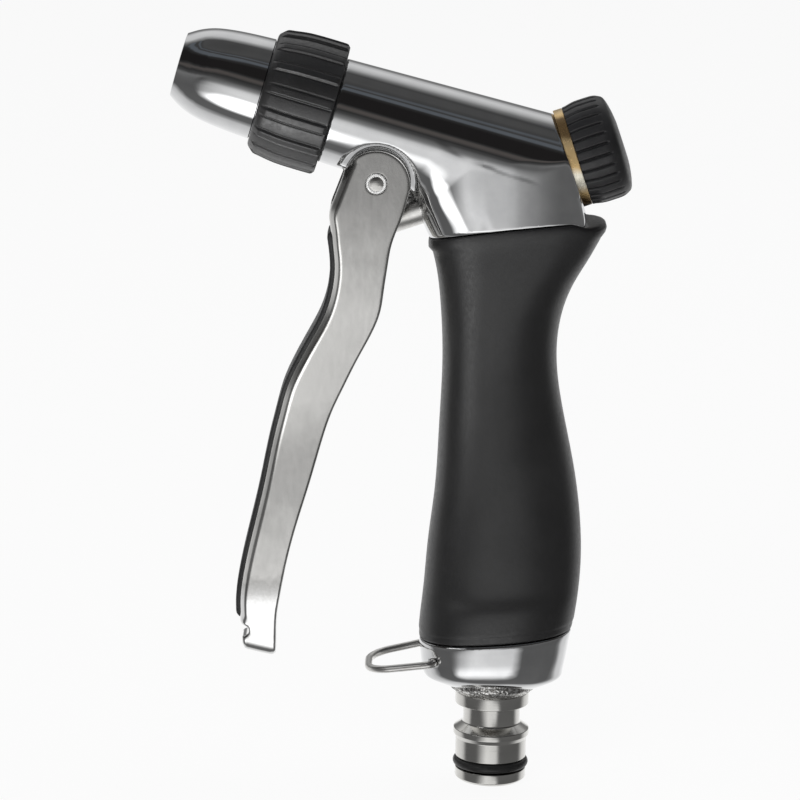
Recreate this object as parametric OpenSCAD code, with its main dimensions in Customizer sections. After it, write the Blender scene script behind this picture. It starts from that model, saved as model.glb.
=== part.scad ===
// Hose spray nozzle with a squeeze lever, a twist nozzle, a rear flow knob and a hold-open bail.
// The origin is the centre of the plug's locking ridge. Z runs up the plug, the spray leaves towards -X.

/* [Hose plug] */
// Radius of the locking ridge
plug_ridge_r = 8.55; // [8.4:0.05:8.8]
// Width of the ridge's flat land
plug_ridge_land = 1.2; // [0.8:0.1:1.6]
// Radius of the nose below the ridge
plug_nose_r = 8; // [7.7:0.05:8.2]
// Radius of the neck above the ridge
plug_neck_r = 6.4; // [6.1:0.1:7]
// Radius of the water bore
plug_bore_r = 4.6; // [3.8:0.1:5]
// Radius of the shank that screws into the handle
plug_shank_r = 7.2; // [6.8:0.1:7.4]

/* [Handle] */
// Half width of the grip at the base
grip_half_w = 13.6; // [13:0.1:14.4]
// Half width of the grip at the waist
waist_half_w = 11.9; // [11.3:0.1:12.6]
// Half width of the grip's top rim
rim_half_w = 13.3; // [13:0.1:14]
// Thickness of the rubber sleeve
rubber_t = 2.3; // [1.8:0.1:2.8]
// Radius of the water way in the handle
water_r = 6; // [5:0.1:6.4]

/* [Barrel and nozzle] */
// Radius of the barrel behind the collar
barrel_r = 11.7; // [11.4:0.1:12]
// Radius of the barrel where it meets the rear face
barrel_rear_r = 13.4; // [13:0.1:13.8]
// Radius of the spigot that the nozzle screws on
spigot_r = 8.6; // [8.2:0.1:8.8]
// Radius of the barrel's water bore
barrel_bore_r = 4.8; // [4:0.1:5]
// Radius of the nozzle tip at the collar
tip_r = 11.3; // [11:0.1:11.6]
// Radius of the nozzle tip's front face
tip_front_r = 7.2; // [6.6:0.1:7.6]
// Radius of the spray opening
orifice_r = 2.6; // [2.5:0.1:3.2]
// Largest radius of the collar between its ribs
collar_r = 14.35; // [13.8:0.05:14.8]
// Number of ribs round the collar
collar_ribs = 16; // [12:2:20]
// Height of the collar's ribs
collar_rib_h = 0.45; // [0.3:0.05:0.7]

/* [Valve and knob] */
// Radius of the valve stem
stem_r = 3.6; // [3.2:0.1:3.8]
// Radius of the valve chamber
chamber_r = 7.5; // [7.2:0.1:7.8]
// Radius of the valve seat's opening
seat_r = 5.4; // [4.8:0.1:5.8]
// Radius of the brass flange
flange_r = 11.05; // [10.6:0.05:11.2]
// Largest radius of the flow knob
knob_r = 11.6; // [11.2:0.1:12.2]
// Length of the flow knob
knob_len = 9.5; // [8.5:0.25:10.5]
// Number of grooves round the knob
knob_grooves = 30; // [20:2:36]
// Wire radius of the return spring
spring_wire_r = 0.42; // [0.35:0.01:0.48]
// Curls of the return spring
spring_curls = 5; // [4:1:6]

/* [Lever] */
// Half width of the lever at its ears
lever_half_w = 8.4; // [8:0.1:8.8]
// Half width of the lever at its foot
foot_half_w = 5.5; // [5:0.1:5.8]
// Thickness of the lever's side walls
lever_wall = 2.2; // [1.8:0.1:2.4]
// Thickness of the lever's front wall
lever_web = 2.6; // [2.2:0.1:3]
// Height of the pad over the lever's front
pad_t = 1.25; // [0.8:0.05:1.6]
// Radius of the lever's ears
ear_r = 7.5; // [7.2:0.1:8]
// Radius of the pivot pin
pin_r = 2; // [1.6:0.1:2.2]

/* [Bail] */
// Wire radius of the bail
bail_wire_r = 0.75; // [0.6:0.05:0.8]
// Half width of the bail at its hooks
bail_root_w = 10.2; // [10:0.1:10.8]

/* [Fits] */
// Radial gap of a turning or sliding fit
run_gap = 0.05; // [0.03:0.01:0.08]
// Radial gap of a fixed fit
seat_gap = 0.02; // [0.01:0.01:0.04]
// Gap between faces that move past each other
face_gap = 0.3; // [0.25:0.05:0.4]

/* [Hidden] */
$fn = 72;
eps = 0.01;
far = 60;

// Axes: pivot, barrel and valve
pivot = [-28.3, 125.4];
nozzle_front = [-72, 149.6];
barrel_tilt = 15.5;
valve_rear = [13.7, 130.6];
valve_tilt = 19.5;

// Plug heights
plug_end = -11.4;
plug_flange_top = -8.6;
ring_z = -7.3;
ring_tube = 1.05;
nose_base = -6;
neck_low = 2;
shoulder_low = 6;
shoulder_r = 8.3;
cap_low = 8.8;
boss_h = 3.8;
boss_low_r = 8.4;
boss_top_r = 9.9;
shank_top = 36;
washer_t = 1.5;

// Oval sections of the handle
oval_n = 40;
oval_p = 2.3;
seam_z = 23.1;
seam_slope = 0.089;
rim_z = 114.6;
rim_slope = 0.123;
handle_x = 1;
port_r = 4;
port_z = 108;

// Stations along the valve axis, rearwards from the head's rear face
gland_v = -27.5;
seat_v = -20;
seat_t = 1.2;
disc_t = 2.6;
disc_gap = 0.1;
disc_washer_t = 1.2;
nut_t = 3.2;
bush_v = -5.2;
gasket_t = 1;
sleeve_front_v = -14.2;
sleeve_rear_v = bush_v - 0.2;
sleeve_wall = 1.1;
flange_t = 1.8;
knob_v = flange_t + 0.2;
spindle_r = 3.6;
spindle_end_v = knob_v + knob_len - 4;
dome_r = 4;
dome_v = -40;
cam_v = dome_v - dome_r - face_gap;

// Stations along the barrel axis, rearwards from the nozzle's front
collar_s = 18.9;
barrel_s = 35.2;
nozzle_end_s = barrel_s - face_gap;
spigot_s = 16.5;
bore_s = 12.8;
tip_sleeve_r = 10.8;
barrel_end_s = 95;
nozzle_ring_s = 21.6;
rib_turn = 0.75;
needle_s = 3.2;

// Lever
pocket_r = ear_r + 1.5;
lug_half = 5.2;
lug_r = 5;
ear_in = lug_half + face_gap;
foot_r = 109.2;
foot_bend = 33;
foot_lean = 0.15;
catch_r = 106.3;
catch_angle = 15.15;
catch_groove_r = 1.2;
lever_top = 119;
lever_low = 15;
channel_low = 28;
corner_r = 2.6;

// Bail
bail_pivot = [-13.4, 17.7];
bail_len = 14.9;
bail_droop = 10.5;
bail_taper = 11.9;
bail_corner = 4.8;
hook_in = 3.6;
hook_bend = 1.3;

// Outlines: [height, front or rear] in the XZ plane
grip_front = [[18, -17], [24, -16.9], [33, -16.1], [44, -15.3], [55, -14.1], [70, -13.4], [86, -13],
    [98, -13.7], [106, -14.8], [112.6, -16.6], [118, -18.6]];
grip_rear = [[18, 17.1], [24, 17.6], [30, 18.4], [41, 19.1], [50, 18.6], [60, 17.2], [71, 14.9], [80, 13.1],
    [88, 12.3], [96, 13], [103.7, 15.7], [109, 18.8], [113.5, 21.3], [116, 22.5], [120, 22.9]];
grip_width = [[18, grip_half_w], [36, grip_half_w], [60, lerp(grip_half_w, waist_half_w, 0.6)],
    [88, waist_half_w], [104, lerp(waist_half_w, rim_half_w, 0.6)], [116, rim_half_w]];
lever_front = [[14, -56.2], [20, -56.5], [26, -56.7], [29.6, -56.8], [35.1, -56.3], [46.3, -54.1],
    [57.3, -51.7], [68.3, -49.6], [73.9, -48.3], [79.2, -46.9], [84.8, -44.5], [90.2, -41.7], [95.8, -38.9],
    [101, -37.4], [106.4, -36.9], [111.5, -37.4], [116.5, -38.3], [119, -38.5]];
lever_rear = [[14, -49.2], [20.3, -48.9], [27.4, -48.7], [30.2, -48.3], [35.7, -47.4], [47, -44.9],
    [58.1, -41.75], [68.9, -38.85], [74.5, -37], [79.9, -34.6], [85.5, -32], [90.9, -29.25], [96.5, -27],
    [101.7, -26.2], [107.1, -25.5], [112.3, -24.6], [118.3, -22.4], [120, -21.9]];

// Rings of the head above its seam: [height, front, rear, change of half width, slope]
head_front = -16.5;
head_rear = 17.4;
head_half_w = 12.6;
tail_rear = 22.4;
head_p = 3;
head_rings = [[0, head_front, head_rear, 0, rim_slope], [1.9, -17.5, 17.3, 0, 0.1],
    [4, -18.5, 16.9, 0, 0.075], [7, -19.8, 16.2, 0, 0.045], [10.4, -20.9, 15.1, -0.05, 0.01],
    [14.4, -21.3, 13.6, -0.5, 0], [18.4, -20, 12, -2.1, 0]];
// Rings of the cap below its seam: [depth, front, rear, loss of half width, slope]
cap_rings = [[12.5, -9.6, 10, 7.1, 0], [11.6, -11.4, 11.4, 6, 0.002], [10, -14.9, 15.2, 3.4, 0.012],
    [8.8, -15.7, 15.7, 1.8, 0.025], [7.4, -16, 16, 1, 0.035], [5.1, -16.3, 16.5, 0.5, 0.055],
    [2.4, -16.6, 17, 0.15, 0.077], [0.7, -16.8, 17.4, 0, seam_slope], [0.05, -16.3, 16.9, 0.6, seam_slope]];

// Helpers

function lerp(a, b, t) = a + (b - a) * t;

function span_at(t, p, i = 0) = (i >= len(p) - 2 || t <= p[i + 1][0]) ? i : span_at(t, p, i + 1);

// Smooth curve through [station, value] points
function curve(t, p) =
    let (i = span_at(t, p), a = p[max(i - 1, 0)], b = p[i], c = p[i + 1], d = p[min(i + 2, len(p) - 1)])
    let (h = c[0] - b[0], u = (t - b[0]) / h)
    let (mb = (c[1] - a[1]) / (c[0] - a[0]), mc = (d[1] - b[1]) / (d[0] - b[0]))
    (2 * u * u * u - 3 * u * u + 1) * b[1] + (u * u * u - 2 * u * u + u) * h * mb
    + (3 * u * u - 2 * u * u * u) * c[1] + (u * u * u - u * u) * h * mc;

// Oval ring in a plane that rises with x
function oval(front, rear, w, z, slope, rear_p = oval_p) = [
    for (i = [0 : oval_n - 1])
        let (c = cos(360 * i / oval_n), s = sin(360 * i / oval_n), p = 2 / (c > 0 ? rear_p : oval_p))
        let (x = (front + rear) / 2 + (rear - front) / 2 * sign(c) * pow(abs(c), p))
        [x, w * sign(s) * pow(abs(s), p), z + slope * x]
];

// Ring of the handle at a level, set in from the grip's surface
function handle_slope(z) = lerp(seam_slope, rim_slope, (z - seam_z) / (rim_z - seam_z));
function handle_ring(z, inset) =
    let (m = handle_slope(z))
    oval(curve(z - 15 * m, grip_front) + inset, curve(z + 17 * m, grip_rear) - inset,
        curve(z, grip_width) - inset, z, m);

// Solid through a stack of rings
module loft(rings) {
    n = len(rings[0]);
    k = len(rings);
    polyhedron(
        points = [for (r = rings) each r],
        faces = concat(
            [[for (i = [0 : n - 1]) i]],
            [[for (i = [n - 1 : -1 : 0]) (k - 1) * n + i]],
            [for (j = [0 : k - 2], i = [0 : n - 1]) [j * n + i, (j + 1) * n + i, (j + 1) * n + (i + 1) % n]],
            [for (j = [0 : k - 2], i = [0 : n - 1])
                [j * n + i, (j + 1) * n + (i + 1) % n, j * n + (i + 1) % n]]
        )
    );
}

module on_barrel(s = 0) {
    translate([nozzle_front[0], 0, nozzle_front[1]])
        rotate([0, 90 + barrel_tilt, 0])
            translate([0, 0, s])
                children();
}

module on_valve(v = 0) {
    translate([valve_rear[0], 0, valve_rear[1]])
        rotate([0, 90 - valve_tilt, 0])
            translate([0, 0, v])
                children();
}

module on_pivot() {
    translate([pivot[0], 0, pivot[1]])
        rotate([90, 0, 0])
            children();
}

module tube(r_out, r_in, h) {
    difference() {
        cylinder(h = h, r = r_out);
        translate([0, 0, -eps])
            cylinder(h = h + 2 * eps, r = r_in);
    }
}

module o_ring(r_in, tube_r) {
    rotate_extrude()
        translate([r_in + tube_r, 0])
            circle(r = tube_r, $fn = 32);
}

// Handle pieces

module handle_core() {
    core_in = rubber_t + seat_gap;
    head_z = rim_z + seat_gap;
    levels = [seam_z, 27, 33, 40, 48, 57, 66, 74, 82, 89, 96, 102, 107, 111];
    loft(concat(
        [for (z = levels) handle_ring(z, core_in)],
        [oval(head_front + core_in, head_rear - core_in, rim_half_w - core_in, head_z, rim_slope)],
        [for (h = head_rings) oval(h[1], h[2], head_half_w + h[3], head_z + h[0], h[4], head_p)]
    ));
}

rear_outline = [[0, -90], [70, -90], [70, -24], [17.2, -8.5], [barrel_rear_r, -3], [flange_r, 0], [0, 0]];

module barrel() {
    intersection() {
        on_barrel(barrel_s)
            cylinder(h = barrel_end_s - barrel_s, r1 = barrel_r, r2 = barrel_rear_r);
        on_valve()
            rotate_extrude()
                polygon(rear_outline);
    }
}

module valve_bores() {
    on_valve(bush_v - gasket_t)
        cylinder(h = far, r = chamber_r + 1.7 + run_gap);
    on_valve(seat_v)
        cylinder(h = far, r = chamber_r);
    on_valve(seat_v - seat_t - eps)
        cylinder(h = seat_t + 2 * eps, r = seat_r);
    on_valve(gland_v)
        cylinder(h = seat_v - seat_t - gland_v, r = chamber_r - 1);
    on_valve(gland_v - far)
        cylinder(h = far + eps, r = stem_r + run_gap);
    on_valve(gland_v - 5.1)
        cylinder(h = 2.2, r = stem_r + 1.6);
    on_valve((gland_v + seat_v) / 2)
        rotate([0, -90, 0])
            cylinder(h = 12, r = barrel_bore_r - 0.8);
}

module body_casting() {
    color([0.8, 0.81, 0.83])
        difference() {
            union() {
                barrel();
                handle_core();
                on_barrel(spigot_s)
                    cylinder(h = barrel_s - spigot_s + 1, r = spigot_r);
                on_pivot()
                    translate([0, 0, -lug_half])
                        cylinder(h = 2 * lug_half, r = lug_r);
            }
            for (side = [-1, 1])
                on_pivot()
                    translate([0, 0, side > 0 ? lug_half : -lug_half - far])
                        cylinder(h = far, r = pocket_r);
            on_pivot()
                translate([0, 0, -far])
                    cylinder(h = 2 * far, r = pin_r + seat_gap);
            valve_bores();
            on_barrel(spigot_s - eps)
                cylinder(h = 45.5, r = barrel_bore_r);
            translate([handle_x, 0, shank_top])
                cylinder(h = port_z - shank_top, r = water_r);
            translate([handle_x, 0, port_z - eps])
                cylinder(h = valve_rear[1] - port_z - 8, r = port_r);
            cylinder(h = shank_top + washer_t, r = plug_shank_r + seat_gap);
        }
}

module grip_sleeve() {
    levels = [27, 30, 34, 39, 45, 52, 59, 66, 73, 79, 84, 89, 94, 99, 104, 108, 111.5];
    bore_levels = [seam_z - 2, seam_z, 27, 33, 40, 48, 57, 66, 74, 82, 89, 96, 102, 107, 111];
    bore_front = head_front + rubber_t;
    bore_rear = head_rear - rubber_t;
    color([0.06, 0.06, 0.065])
        difference() {
            loft(concat(
                [handle_ring(seam_z + 0.2, 0.7), handle_ring(seam_z + 1, 0.1)],
                [for (z = levels) handle_ring(z, 0)],
                [
                    oval(head_front - 0.1, tail_rear, rim_half_w, rim_z - 1.2, rim_slope),
                    oval(head_front - 0.1, tail_rear - 0.5, rim_half_w, rim_z - 0.4, rim_slope),
                    oval(head_front, tail_rear - 1.5, rim_half_w - 0.2, rim_z, rim_slope)
                ]
            ));
            loft(concat(
                [for (z = bore_levels) handle_ring(z, rubber_t)],
                [for (z = [rim_z, rim_z + 2])
                    oval(bore_front, bore_rear, rim_half_w - rubber_t, z, rim_slope)]
            ));
        }
}

module base_cap() {
    color([0.8, 0.81, 0.83])
        difference() {
            union() {
                loft([for (c = cap_rings) oval(c[1], c[2], grip_half_w - c[3], seam_z - c[0], c[4])]);
                translate([0, 0, cap_low])
                    cylinder(h = boss_h, r1 = boss_low_r, r2 = boss_top_r);
            }
            translate([0, 0, cap_low - eps])
                cylinder(h = far, r = plug_shank_r + seat_gap);
            translate([bail_pivot[0], 0, bail_pivot[1]])
                rotate([90, 0, 0])
                    for (side = [-1, 1])
                        translate([0, 0, side > 0 ? bail_root_w - hook_in - 0.2 : -bail_root_w - 10])
                            cylinder(h = 10 + hook_in + 0.2, r = bail_wire_r + run_gap);
        }
}

module hose_plug() {
    half_land = plug_ridge_land / 2;
    color([0.74, 0.73, 0.7])
        difference() {
            rotate_extrude()
                polygon([
                    [0, plug_end],
                    [plug_nose_r - 0.8, plug_end],
                    [plug_nose_r, plug_end + 0.8],
                    [plug_nose_r, plug_flange_top],
                    [plug_nose_r - 1.6, plug_flange_top],
                    [plug_nose_r - 1.6, nose_base],
                    [plug_nose_r, nose_base],
                    [plug_nose_r, -1.6],
                    [plug_ridge_r, -half_land],
                    [plug_ridge_r, half_land],
                    [plug_neck_r, neck_low],
                    [plug_neck_r, shoulder_low],
                    [shoulder_r - 0.3, shoulder_low],
                    [shoulder_r, shoulder_low + 0.3],
                    [shoulder_r, cap_low],
                    [plug_shank_r, cap_low],
                    [plug_shank_r, shank_top],
                    [0, shank_top]
                ]);
            translate([0, 0, plug_end - eps])
                cylinder(h = far, r = plug_bore_r);
        }
}

module plug_o_ring() {
    groove_r = plug_nose_r - 1.6;
    color([0.05, 0.05, 0.05])
        translate([0, 0, ring_z])
            o_ring(groove_r + seat_gap, min(ring_tube, (plug_ridge_r - groove_r - 0.05) / 2));
}

module plug_washer() {
    color([0.25, 0.25, 0.25])
        translate([0, 0, shank_top + seat_gap])
            tube(plug_shank_r - seat_gap, plug_bore_r, washer_t - 2 * seat_gap);
}

// Nozzle

module tip_outline() {
    polygon([
        [orifice_r, 2.2],
        [tip_front_r - 1.6, 0.4],
        [tip_front_r - 0.7, 0],
        [tip_front_r, 0.25],
        [8.1, 1.6],
        [9, 3.3],
        [9.75, 5.3],
        [10.4, 8.3],
        [10.85, 12],
        [tip_r, collar_s],
        [tip_sleeve_r, collar_s + 0.2],
        [tip_sleeve_r, nozzle_end_s],
        [spigot_r + run_gap, nozzle_end_s],
        [spigot_r + run_gap, nozzle_ring_s + 1],
        [spigot_r + 1.42, nozzle_ring_s + 1],
        [spigot_r + 1.42, nozzle_ring_s - 1],
        [spigot_r + run_gap, nozzle_ring_s - 1],
        [spigot_r + run_gap, bore_s],
        [barrel_bore_r + 2, bore_s - 0.8],
        [orifice_r, 6]
    ]);
}

module nozzle_tip() {
    color([0.8, 0.81, 0.83])
        on_barrel()
            rotate_extrude()
                tip_outline();
}

// Radius at a share of the collar's wall
function collar_at(share) = lerp(tip_sleeve_r + seat_gap, collar_r, share);

collar_outline = [
    [collar_at(0), collar_s + 0.25],
    [collar_at(0.38), collar_s + 0.25],
    [collar_at(0.6), collar_s + 0.9],
    [collar_at(0.8), collar_s + 3],
    [collar_at(0.94), collar_s + 6],
    [collar_at(1), collar_s + 10],
    [collar_at(1), collar_s + 15.3],
    [collar_at(0.95), nozzle_end_s - 0.25],
    [collar_at(0.85), nozzle_end_s],
    [collar_at(0), nozzle_end_s]
];

rib_outline = [
    [collar_at(0.27), collar_s + 0.7],
    [collar_at(0.46), collar_s + 0.7],
    [collar_at(0.69) + collar_rib_h, collar_s + 1.5],
    [collar_at(0.8) + collar_rib_h, collar_s + 3],
    [collar_at(0.94) + collar_rib_h, collar_s + 6],
    [collar_at(1) + collar_rib_h, collar_s + 10],
    [collar_at(1) + collar_rib_h, collar_s + 15],
    [collar_at(0.98) + collar_rib_h, collar_s + 15.4],
    [collar_at(0.9), nozzle_end_s - 0.2],
    [collar_at(0.27), nozzle_end_s - 0.2]
];

module nozzle_collar() {
    rib_angle = 112 / collar_ribs;
    color([0.06, 0.06, 0.065])
        on_barrel()
            union() {
                rotate_extrude()
                    polygon(collar_outline);
                for (i = [0 : collar_ribs - 1])
                    rotate([0, 0, 360 * (i + 0.5) / collar_ribs - rib_angle / 2 + rib_turn])
                        rotate_extrude(angle = rib_angle)
                            polygon(rib_outline);
            }
}

module nozzle_o_ring() {
    color([0.05, 0.05, 0.05])
        on_barrel(nozzle_ring_s)
            o_ring(spigot_r + run_gap, 0.67);
}

module jet_needle() {
    base_r = barrel_bore_r - seat_gap;
    head_r = orifice_r - 0.5;
    rod_r = 1.4;
    base_s = spigot_s + 1.5;
    base_len = 6;
    color([0.78, 0.6, 0.3])
        on_barrel()
            difference() {
                rotate_extrude()
                    polygon([
                        [0, needle_s],
                        [head_r - 0.5, needle_s + 0.3],
                        [head_r, needle_s + 1.4],
                        [head_r, needle_s + 2.4],
                        [rod_r, needle_s + 4.4],
                        [rod_r, base_s],
                        [base_r, base_s],
                        [base_r, base_s + base_len],
                        [0, base_s + base_len]
                    ]);
                for (i = [0 : 3])
                    rotate([0, 0, 45 + 90 * i])
                        translate([base_r - 1.7, 0, base_s - 1])
                            cylinder(h = base_len + 2, r = 1.1);
            }
}

// Valve

module valve_stem() {
    shoulder_v = seat_v + disc_gap;
    tip_v = dome_v - dome_r;
    color([0.75, 0.75, 0.74])
        on_valve()
            intersection() {
                rotate_extrude()
                    polygon([
                        [0, tip_v - 1],
                        [stem_r, tip_v - 1],
                        [stem_r, gland_v - 1.5],
                        [2.2, gland_v - 0.2],
                        [2.2, shoulder_v - 2.8],
                        [4, shoulder_v - 2.2],
                        [4, shoulder_v],
                        [2, shoulder_v],
                        [2, shoulder_v + disc_t + disc_washer_t + nut_t + 1],
                        [0, shoulder_v + disc_t + disc_washer_t + nut_t + 1]
                    ]);
                union() {
                    translate([0, 0, dome_v])
                        sphere(r = dome_r);
                    translate([0, 0, dome_v])
                        cylinder(h = far, r = chamber_r);
                }
            }
}

module valve_disc() {
    color([0.07, 0.07, 0.07])
        on_valve(seat_v + disc_gap)
            tube(chamber_r - 0.7, 2 + seat_gap, disc_t);
}

module disc_washer() {
    color([0.78, 0.6, 0.3])
        on_valve(seat_v + disc_gap + disc_t)
            tube(5.6, 2 + seat_gap, disc_washer_t);
}

module stem_nut() {
    color([0.75, 0.75, 0.74])
        on_valve(seat_v + disc_gap + disc_t + disc_washer_t)
            difference() {
                cylinder(h = nut_t, r = 3.9, $fn = 6);
                translate([0, 0, -eps])
                    cylinder(h = nut_t + 2 * eps, r = 2 + seat_gap);
            }
}

function spring_ring(t, r, h) =
    let (a = 360 * spring_curls * t)
    [for (i = [0 : 5])
        let (b = 60 * i, q = r + spring_wire_r * cos(b))
        [q * cos(a), q * sin(a), h * t + spring_wire_r * sin(b)]];

module return_spring() {
    low = seat_v + disc_gap + disc_t + disc_washer_t;
    high = sleeve_rear_v - 1.5;
    length = high - low - 2 * spring_wire_r - 0.1;
    steps = 8 * spring_curls;
    echo(least_gap = length / spring_curls - 2 * spring_wire_r);
    color([0.72, 0.73, 0.74])
        on_valve(low + spring_wire_r + 0.05)
            loft([for (i = [0 : steps]) spring_ring(i / steps, 4.75, length)]);
}

module stem_o_ring() {
    color([0.05, 0.05, 0.05])
        on_valve(gland_v - 4)
            o_ring(stem_r + run_gap, 0.75);
}

module brass_bush() {
    body_r = chamber_r + 1.7 + run_gap - seat_gap;
    ring_r = spindle_r + 1.5;
    color([0.85, 0.65, 0.3])
        on_valve()
            rotate_extrude()
                polygon([
                    [spindle_r + run_gap, bush_v],
                    [body_r, bush_v],
                    [body_r, seat_gap],
                    [flange_r, seat_gap],
                    [flange_r, flange_t - 0.3],
                    [flange_r - 0.3, flange_t],
                    [spindle_r + run_gap, flange_t],
                    [spindle_r + run_gap, -1.4],
                    [ring_r, -1.4],
                    [ring_r, -3.6],
                    [spindle_r + run_gap, -3.6]
                ]);
}

module bush_gasket() {
    color([0.25, 0.25, 0.25])
        on_valve(bush_v - gasket_t + seat_gap)
            tube(chamber_r + 1.7, chamber_r, gasket_t - 2 * seat_gap);
}

module sleeve_o_ring() {
    color([0.05, 0.05, 0.05])
        on_valve(-2.5)
            o_ring(spindle_r + run_gap, 0.7);
}

module flow_sleeve() {
    out_r = chamber_r - run_gap - 0.03;
    color([0.78, 0.6, 0.3])
        on_valve()
            difference() {
                rotate_extrude()
                    polygon([
                        [out_r - sleeve_wall, sleeve_front_v],
                        [out_r, sleeve_front_v],
                        [out_r, sleeve_rear_v],
                        [spindle_r, sleeve_rear_v],
                        [spindle_r, spindle_end_v],
                        [0, spindle_end_v],
                        [0, sleeve_rear_v - 1.5],
                        [out_r - sleeve_wall, sleeve_rear_v - 1.5]
                    ]);
                translate([0, 0, -10.6])
                    rotate([0, 90, 0])
                        cylinder(h = far, r = 2.8);
                translate([0, 0, spindle_end_v - 5])
                    cylinder(h = far, r = 1.5 + seat_gap);
            }
}

module flow_knob() {
    rear_v = knob_v + knob_len;
    groove_r = 0.5;
    color([0.06, 0.06, 0.065])
        on_valve()
            difference() {
                rotate_extrude()
                    polygon([
                        [spindle_r + seat_gap, knob_v],
                        [6.4, knob_v],
                        [6.4, knob_v + 5],
                        [9.6, knob_v + 5],
                        [9.6, knob_v],
                        [knob_r - 0.6, knob_v],
                        [knob_r - 0.25, knob_v + 1.2],
                        [knob_r, knob_v + 2.6],
                        [knob_r, knob_v + 6.2],
                        [knob_r - 0.25, rear_v - 1.9],
                        [knob_r - 0.7, rear_v - 1],
                        [knob_r - 1.8, rear_v],
                        [4.2, rear_v],
                        [4.2, rear_v - 2.4],
                        [1.5 + seat_gap, rear_v - 2.4],
                        [1.5 + seat_gap, spindle_end_v + seat_gap],
                        [spindle_r + seat_gap, spindle_end_v + seat_gap]
                    ]);
                for (i = [0 : knob_grooves - 1])
                    rotate([0, 0, 360 * (i + 0.5) / knob_grooves])
                        translate([knob_r + 0.1, 0, knob_v - 1])
                            cylinder(h = knob_len - 1, r = groove_r);
            }
}

module knob_screw() {
    seat = knob_v + knob_len - 2.4;
    color([0.75, 0.75, 0.74])
        on_valve()
            difference() {
                rotate_extrude()
                    polygon([[0, spindle_end_v - 4.8], [1.5, spindle_end_v - 4.8], [1.5, seat], [3.2, seat],
                        [3.2, seat + 1], [2.4, seat + 1.7], [0, seat + 2]]);
                for (a = [0, 90])
                    rotate([0, 0, a])
                        translate([-2, -0.35, seat + 1])
                            cube([4, 0.7, 2]);
            }
}

// Lever

function lever_w(z) = lerp(foot_half_w, lever_half_w, (z - 18) / 92) - foot_lean * max(foot_bend - z, 0);

// Rounded section of the lever at a height, front corners rounded
function lever_ring(z, front, rear, w, r) = concat(
    [[rear, -w, z], [rear, w, z]],
    [for (a = [0 : 18 : 90]) [front + r - r * sin(a), w - r + r * cos(a), z]],
    [for (a = [90 : -18 : 0]) [front + r - r * sin(a), -w + r - r * cos(a), z]]
);

lever_levels = [lever_low, 21, 27, 32, 38, 46, 54, 62, 69, 74, 79, 83, 87, 91, 95, 99, 103, 107, 111, 115,
    lever_top];

module lever_outer() {
    loft([for (z = lever_levels)
        lever_ring(z, curve(z, lever_front), curve(z, lever_rear), min(lever_w(z), lever_half_w), corner_r)]);
}

module lever_channel() {
    levels = concat([channel_low], [for (z = lever_levels) if (z > channel_low) z], [lever_top + 6]);
    loft([for (z = levels)
        let (y = min(z, lever_top))
        lever_ring(z, curve(y, lever_front) + lever_web, curve(y, lever_rear) + 8,
            min(lever_w(y), lever_half_w) - lever_wall, 1)]);
}

module lever_ear() {
    union() {
        cylinder(h = lever_half_w - ear_in, r = ear_r);
        linear_extrude(height = lever_half_w - ear_in)
            polygon([[-6.3, 4.07], [-10.2, -6.4], [-9.6, -11], [4, -12], [5.9, -7.1], [7.4, -1.2], [3, 3]]);
    }
}

module lever_pad_form(grow) {
    levels = [26.8 - grow, 30, 35, 42, 50, 58, 66, 72, 77, 82, 86, 90, 94, 98, 102, 106, 110, 114.2 + grow];
    loft([for (z = levels)
        let (f = curve(z, lever_front), w = lever_w(z) - 1.9 + grow)
        let (t = (z < 27.5 || z > 113.5) ? pad_t * 0.45 : pad_t)
        lever_ring(z, f - t - grow, f + 0.7 + grow, w, 0.9)]);
}

module squeeze_lever() {
    color([0.62, 0.61, 0.58])
        difference() {
            union() {
                difference() {
                    lever_outer();
                    lever_channel();
                }
                on_pivot()
                    for (side = [-1, 1])
                        translate([0, 0, side > 0 ? ear_in : -lever_half_w])
                            lever_ear();
                on_valve(cam_v - 7.4)
                    translate([-3.6, -lever_half_w + 1, 0])
                        cube([7.2, 2 * lever_half_w - 2, 7.4]);
            }
            on_pivot()
                translate([0, 0, -far])
                    cylinder(h = 2 * far, r = pin_r + run_gap);
            on_pivot()
                translate([0, 0, -far])
                    tube(foot_r + far, foot_r, 2 * far);
            translate([pivot[0] - catch_r * sin(catch_angle), 0, pivot[1] - catch_r * cos(catch_angle)])
                rotate([90, 0, 0])
                    translate([0, 0, -far])
                        cylinder(h = 2 * far, r = catch_groove_r);
            lever_pad_form(seat_gap);
        }
}

module lever_pad() {
    color([0.06, 0.06, 0.065])
        lever_pad_form(0);
}

module pivot_pin() {
    head_v = lever_half_w + 0.15;
    color([0.8, 0.8, 0.8])
        on_pivot()
            rotate_extrude()
                polygon([
                    [0, -head_v - 0.25],
                    [1.1, -head_v - 0.1],
                    [1.6, -head_v - 0.05],
                    [1.8, -head_v - 0.4],
                    [pin_r + 0.25, -head_v - 0.25],
                    [pin_r + 0.25, -head_v],
                    [pin_r, -head_v],
                    [pin_r, head_v],
                    [pin_r + 0.25, head_v],
                    [pin_r + 0.25, head_v + 0.25],
                    [1.8, head_v + 0.4],
                    [1.6, head_v + 0.05],
                    [1.1, head_v + 0.1],
                    [0, head_v + 0.25]
                ]);
}

// Bail

// Points of a turn with the heading at each
function turn(x, y, r, from, to, n) = [
    for (i = [0 : n])
        let (a = lerp(from, to, i / n))
        [x + r * cos(a), y + r * sin(a), a - 90]
];

// Wire section square to a heading
function wire_ring(p) = [
    for (i = [0 : 11])
        let (q = bail_wire_r * cos(30 * i))
        [p[0] - q * sin(p[2]), p[1] + q * cos(p[2]), bail_wire_r * sin(30 * i)]
];

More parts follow.
